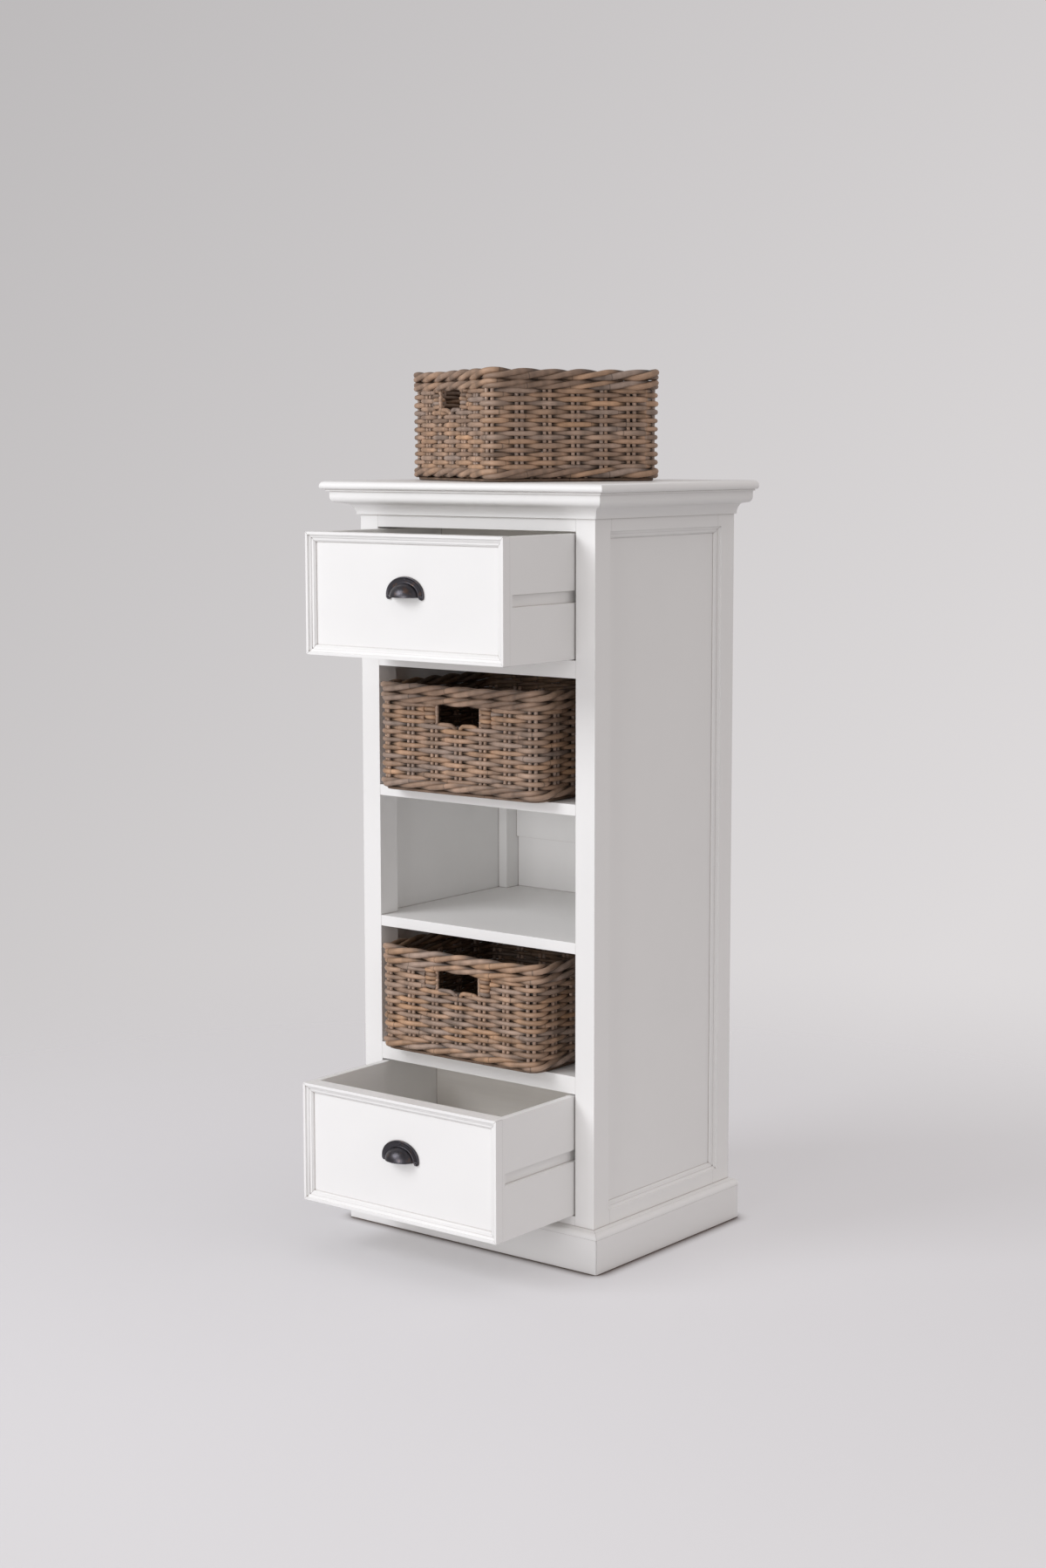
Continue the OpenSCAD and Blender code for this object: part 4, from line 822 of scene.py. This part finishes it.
swept = caned(tree, canes, thick, {
    "Thickness": thickness, "Tone": tone, "Run": spline["Length"], "Grime": grime,
    "Offset": out_and_up(tree, outward, up)}, sides=9, capped=False)
swept = add(tree, "GeometryNodeGroup", {"Canes": swept}, node_tree=outside_tree)
add(tree, "NodeGroupOutput", {0: swept})


def straight(tree, axis, half):
    """A straight line along an axis, from minus to plus its half length."""
    back = add(tree, "ShaderNodeMath", {0: half, 1: -1.0}, operation="MULTIPLY")
    start = add(tree, "ShaderNodeCombineXYZ", {axis: back})
    end = add(tree, "ShaderNodeCombineXYZ", {axis: half})
    return add(tree, "GeometryNodeCurvePrimitiveLine", {"Start": start, "End": end})


# The woven bottom: rows of cane from side to side over and under pairs of rods
bottom_tree, given = new_tree("woven_bottom", {
    "Half width": 156 * mm, "Half depth": 143 * mm, "Height": 10.5 * mm, "Rows": 36, "Cane radius": 3.7 * mm,
    "Swing": 2.6 * mm, "Pair step": 49.3 * mm, "Gap": stake_gap, "Rod radius": 2.3 * mm, "Pairs": 7,
    "Seed": 1})
tree = bottom_tree
line = straight(tree, "X", given["Half width"])
line = add(tree, "GeometryNodeResampleCurve", {"Curve": line, "Count": 57})
rows = add(tree, "GeometryNodeDuplicateElements", {"Geometry": line, "Amount": given["Rows"]},
           domain="SPLINE")
row = rows.outputs["Duplicate Index"]
here = add(tree, "ShaderNodeSeparateXYZ", {0: add(tree, "GeometryNodeInputPosition")}).outputs
wave = here["X"]
for operation, by in (("DIVIDE", given["Pair step"]), ("ADD", row), ("MULTIPLY", math.pi)):
    wave = add(tree, "ShaderNodeMath", {0: wave, 1: by}, operation=operation)
wave = add(tree, "ShaderNodeMath", {0: wave}, operation="COSINE")
up = add(tree, "ShaderNodeMath", {0: wave, 1: given["Swing"], 2: given["Height"]}, operation="MULTIPLY_ADD")
back = add(tree, "ShaderNodeMath", {0: row, 1: 0.5})
back = add(tree, "ShaderNodeMath", {0: back, 1: given["Rows"]}, operation="DIVIDE")
back = add(tree, "ShaderNodeMath", {0: back, 1: 2.0, 2: -1.0}, operation="MULTIPLY_ADD")
back = add(tree, "ShaderNodeMath", {0: back, 1: given["Half depth"]}, operation="MULTIPLY")
move = add(tree, "ShaderNodeCombineXYZ", {"Y": back, "Z": up})
tone = add(tree, "FunctionNodeRandomValue", {"ID": row, "Seed": given["Seed"]}).outputs[1]
swept = caned(tree, rows, given["Cane radius"], {"Tone": tone, "Run": here["X"], "Offset": move})
pair, side = paired(tree)
middle = add(tree, "ShaderNodeMath", {0: given["Pairs"], 1: 0.5, 2: -0.5}, operation="MULTIPLY_ADD")
x = add(tree, "ShaderNodeMath", {0: pair, 1: middle}, operation="SUBTRACT")
x = add(tree, "ShaderNodeMath", {0: x, 1: given["Pair step"]}, operation="MULTIPLY")
x = add(tree, "ShaderNodeMath", {0: side, 1: given["Gap"], 2: x}, operation="MULTIPLY_ADD")
spot = add(tree, "ShaderNodeCombineXYZ", {"X": x, "Z": given["Height"]})
count = add(tree, "ShaderNodeMath", {0: given["Pairs"], 1: 2.0}, operation="MULTIPLY")
spots = add(tree, "GeometryNodeMeshLine", {"Count": count})
spots = add(tree, "GeometryNodeSetPosition", {"Geometry": spots, "Position": spot})
line = straight(tree, "Y", given["Half depth"])
length = add(tree, "GeometryNodeSplineParameter").outputs["Length"]
line = add(tree, "GeometryNodeStoreNamedAttribute", {"Geometry": line, "Name": "run", "Value": length})
rod = add(tree, "GeometryNodeGroup", {"Line": line, "Radius": given["Rod radius"]}, node_tree=skin_tree)
rods = add(tree, "GeometryNodeInstanceOnPoints", {"Points": spots, "Instance": rod})
tone = add(tree, "FunctionNodeRandomValue", {"Seed": given["Seed"]}).outputs[1]
rods = add(tree, "GeometryNodeStoreNamedAttribute", {"Geometry": rods, "Name": "cane", "Value": tone},
           domain="INSTANCE")
rods = add(tree, "GeometryNodeRealizeInstances", {"Geometry": rods})
both = add(tree, "GeometryNodeJoinGeometry", {"Geometry": [swept, rods]})
add(tree, "NodeGroupOutput", {0: both})

# The hand hole's edges: short canes wrapped round the pair of rods on either side, and two bent canes
# that close the rows below it
hump_back = 4 * mm
hump_reach = 5 * mm
wrap_wander = 4.5 * mm
handle_tree, given = new_tree("hand_hole_edges", {
    "Side": 55.7 * mm, "Wall": stake_inset - basket_deep / 2, "Wrap width": 8.9 * mm, "Wrap depth": 5.6 * mm,
    "Wraps": 5, "Wrap pitch": 6.6 * mm, "Wrap bottom": 118 * mm, "Cane radius": 3.4 * mm,
    "Hump side": 23.5 * mm, "Hump half": 19 * mm, "Hump top": 114 * mm, "Hump drop": 9 * mm, "Seed": 1})
tree = handle_tree
spline = add(tree, "GeometryNodeSplineParameter").outputs
loop = add(tree, "GeometryNodeCurvePrimitiveCircle", {"Resolution": 20, "Radius": 1.0})
size = add(tree, "ShaderNodeCombineXYZ", {"X": given["Wrap width"], "Y": given["Wrap depth"], "Z": 1.0})
loop = add(tree, "GeometryNodeTransform", {"Geometry": loop, "Scale": size})
sides = add(tree, "GeometryNodeDuplicateElements", {"Geometry": loop, "Amount": 2}, domain="SPLINE")
x = add(tree, "ShaderNodeMath", {0: sides.outputs["Duplicate Index"], 1: 2.0, 2: -1.0},
        operation="MULTIPLY_ADD")
x = add(tree, "ShaderNodeMath", {0: x, 1: given["Side"]}, operation="MULTIPLY")
move = add(tree, "ShaderNodeCombineXYZ", {"X": x, "Y": given["Wall"], "Z": given["Wrap bottom"]})
sides = add(tree, "GeometryNodeSetPosition", {"Geometry": sides, "Offset": move})
wraps = add(tree, "GeometryNodeDuplicateElements", {"Geometry": sides, "Amount": given["Wraps"]},
            domain="SPLINE")
wrap = wraps.outputs["Duplicate Index"]
up = add(tree, "ShaderNodeMath", {0: wrap, 1: given["Wrap pitch"]}, operation="MULTIPLY")
drift = drifting(tree, wrap, given["Seed"], apart=2.7, scale=40.0, detail=0.0)
drift = add(tree, "ShaderNodeVectorMath", {0: drift, "Scale": wrap_wander}, operation="SCALE")
move = add(tree, "ShaderNodeCombineXYZ", {"Z": up})
move = add(tree, "ShaderNodeVectorMath", {0: move, 1: drift})
wraps = add(tree, "GeometryNodeSetPosition", {"Geometry": wraps, "Offset": move})
tone = add(tree, "FunctionNodeRandomValue", {"ID": wrap, "Seed": given["Seed"]}).outputs[1]
marks = {"Tone": tone, "Run": spline["Length"]}
wraps = caned(tree, wraps, given["Cane radius"], marks, sides=8, capped=False)
hump = straight(tree, "X", given["Hump half"])
hump = add(tree, "GeometryNodeResampleCurve", {"Curve": hump, "Count": 20})
bend = add(tree, "ShaderNodeMath", {0: spline["Factor"], 1: 2.0, 2: -1.0}, operation="MULTIPLY_ADD")
bend = add(tree, "ShaderNodeMath", {0: bend}, operation="ABSOLUTE")
bend = add(tree, "ShaderNodeMath", {0: bend, 1: bend_power}, operation="POWER")
drop = add(tree, "ShaderNodeMath", {0: given["Hump drop"], 1: -1.0}, operation="MULTIPLY")
up = add(tree, "ShaderNodeMath", {0: bend, 1: drop, 2: given["Hump top"]}, operation="MULTIPLY_ADD")
back = add(tree, "ShaderNodeMath", {0: bend, 1: hump_reach, 2: -hump_back}, operation="MULTIPLY_ADD")
back = add(tree, "ShaderNodeMath", {0: back, 1: given["Wall"]})
humps = add(tree, "GeometryNodeDuplicateElements", {"Geometry": hump, "Amount": 2}, domain="SPLINE")
number = humps.outputs["Duplicate Index"]
x = add(tree, "ShaderNodeMath", {0: number, 1: 2.0, 2: -1.0}, operation="MULTIPLY_ADD")
x = add(tree, "ShaderNodeMath", {0: x, 1: given["Hump side"]}, operation="MULTIPLY")
move = add(tree, "ShaderNodeCombineXYZ", {"X": x, "Y": back, "Z": up})
tone = add(tree, "FunctionNodeRandomValue", {"ID": number, "Seed": given["Seed"]}).outputs[1]
marks = {"Tone": tone, "Run": spline["Length"], "Offset": move}
humps = caned(tree, humps, given["Cane radius"], marks, sides=8)
both = add(tree, "GeometryNodeJoinGeometry", {"Geometry": [wraps, humps]})
add(tree, "NodeGroupOutput", {0: both})

# The foot: two thin dark canes under the lower border, side by side
foot_pitch = 1.9
foot_tree, given = new_tree("foot_ring", outline_sizes | {
    "Inset": 10 * mm, "Cane radius": 2.6 * mm, "Canes": 2})
tree = foot_tree
outline = traced(tree, given, points=120)
canes = add(tree, "GeometryNodeDuplicateElements", {"Geometry": outline, "Amount": given["Canes"]},
            domain="SPLINE")
inward = add(tree, "ShaderNodeMath", {0: canes.outputs["Duplicate Index"], 1: given["Cane radius"]},
             operation="MULTIPLY")
inward = add(tree, "ShaderNodeMath", {0: inward, 1: -foot_pitch}, operation="MULTIPLY")
length = add(tree, "GeometryNodeSplineParameter").outputs["Length"]
marks = {"Run": length, "Offset": out_and_up(tree, inward, given["Cane radius"])}
swept = caned(tree, canes, given["Cane radius"], marks, capped=False)
add(tree, "NodeGroupOutput", {0: swept})

# One tree joins the wall, rods, bottom, hand hole, lower border and foot; the other the rim's two borders
lower_border = {"Inset": 6 * mm, "Height": 14 * mm, "Rope radius": 8.8 * mm, "Cane radius": 4.6 * mm,
                "Corner rise": -4.5 * mm}
under_rim = {"Inset": 6 * mm, "Height": 152 * mm, "Rope radius": 8.4 * mm, "Cane radius": 4.5 * mm,
             "Corner rise": 3 * mm}
basket_parts = {
    "body": ((wall_tree, {}), (rods_tree, {}), (bottom_tree, {}), (handle_tree, {}),
             (rope_tree, lower_border), (foot_tree, {})),
    "border": ((rope_tree, {}), (rope_tree, under_rim)),
}
basket_trees = {}
for whole, parts in basket_parts.items():
    tree, given = new_tree(f"basket_{whole}", {"Place": (0.0, 0.0, 0.0), "Turn": 0.0, "Seed": 1})
    woven = [add(tree, "GeometryNodeGroup", sizes, node_tree=part_tree) for part_tree, sizes in parts]
    for part in woven:
        if "Seed" in part.inputs:
            tree.links.new(given["Seed"], part.inputs["Seed"])
    joined = add(tree, "GeometryNodeJoinGeometry", {"Geometry": woven})
    turned = add(tree, "ShaderNodeCombineXYZ", {"Z": given["Turn"]})
    placed = add(tree, "GeometryNodeTransform", {
        "Geometry": joined, "Translation": given["Place"], "Rotation": turned})
    smooth = add(tree, "GeometryNodeSetShadeSmooth", {"Geometry": placed})
    real = add(tree, "GeometryNodeRealizeInstances", {"Geometry": smooth})
    finished = add(tree, "GeometryNodeSetMaterial", {"Geometry": real, "Material": weathered_cane})
    add(tree, "NodeGroupOutput", {0: finished})
    basket_trees[whole] = tree

# Middle of each basket on its board, its turn in degrees and a seed of its own
baskets = {"lower_basket": ((-13.0, 126.0, 310.8), 0.5, 11), "upper_basket": ((-9.0, 121.0, 748.3), 1.5, 23),
           "top_basket": ((-12.0, 182.0, 1250.3), -27.5, 37)}
for basket, (place, degrees, seed) in baskets.items():
    values = {"Place": [p * mm for p in place], "Turn": math.radians(degrees), "Seed": seed}
    for part, slot in (("body", "rattan"), ("border", "rattan_border")):
        mesh = grown(basket_trees[part], values, f"woven_{basket}_{part}")
        piece = linked(mesh.name, mesh)
        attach(piece, basket)
        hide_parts(f"{basket}_{part}")
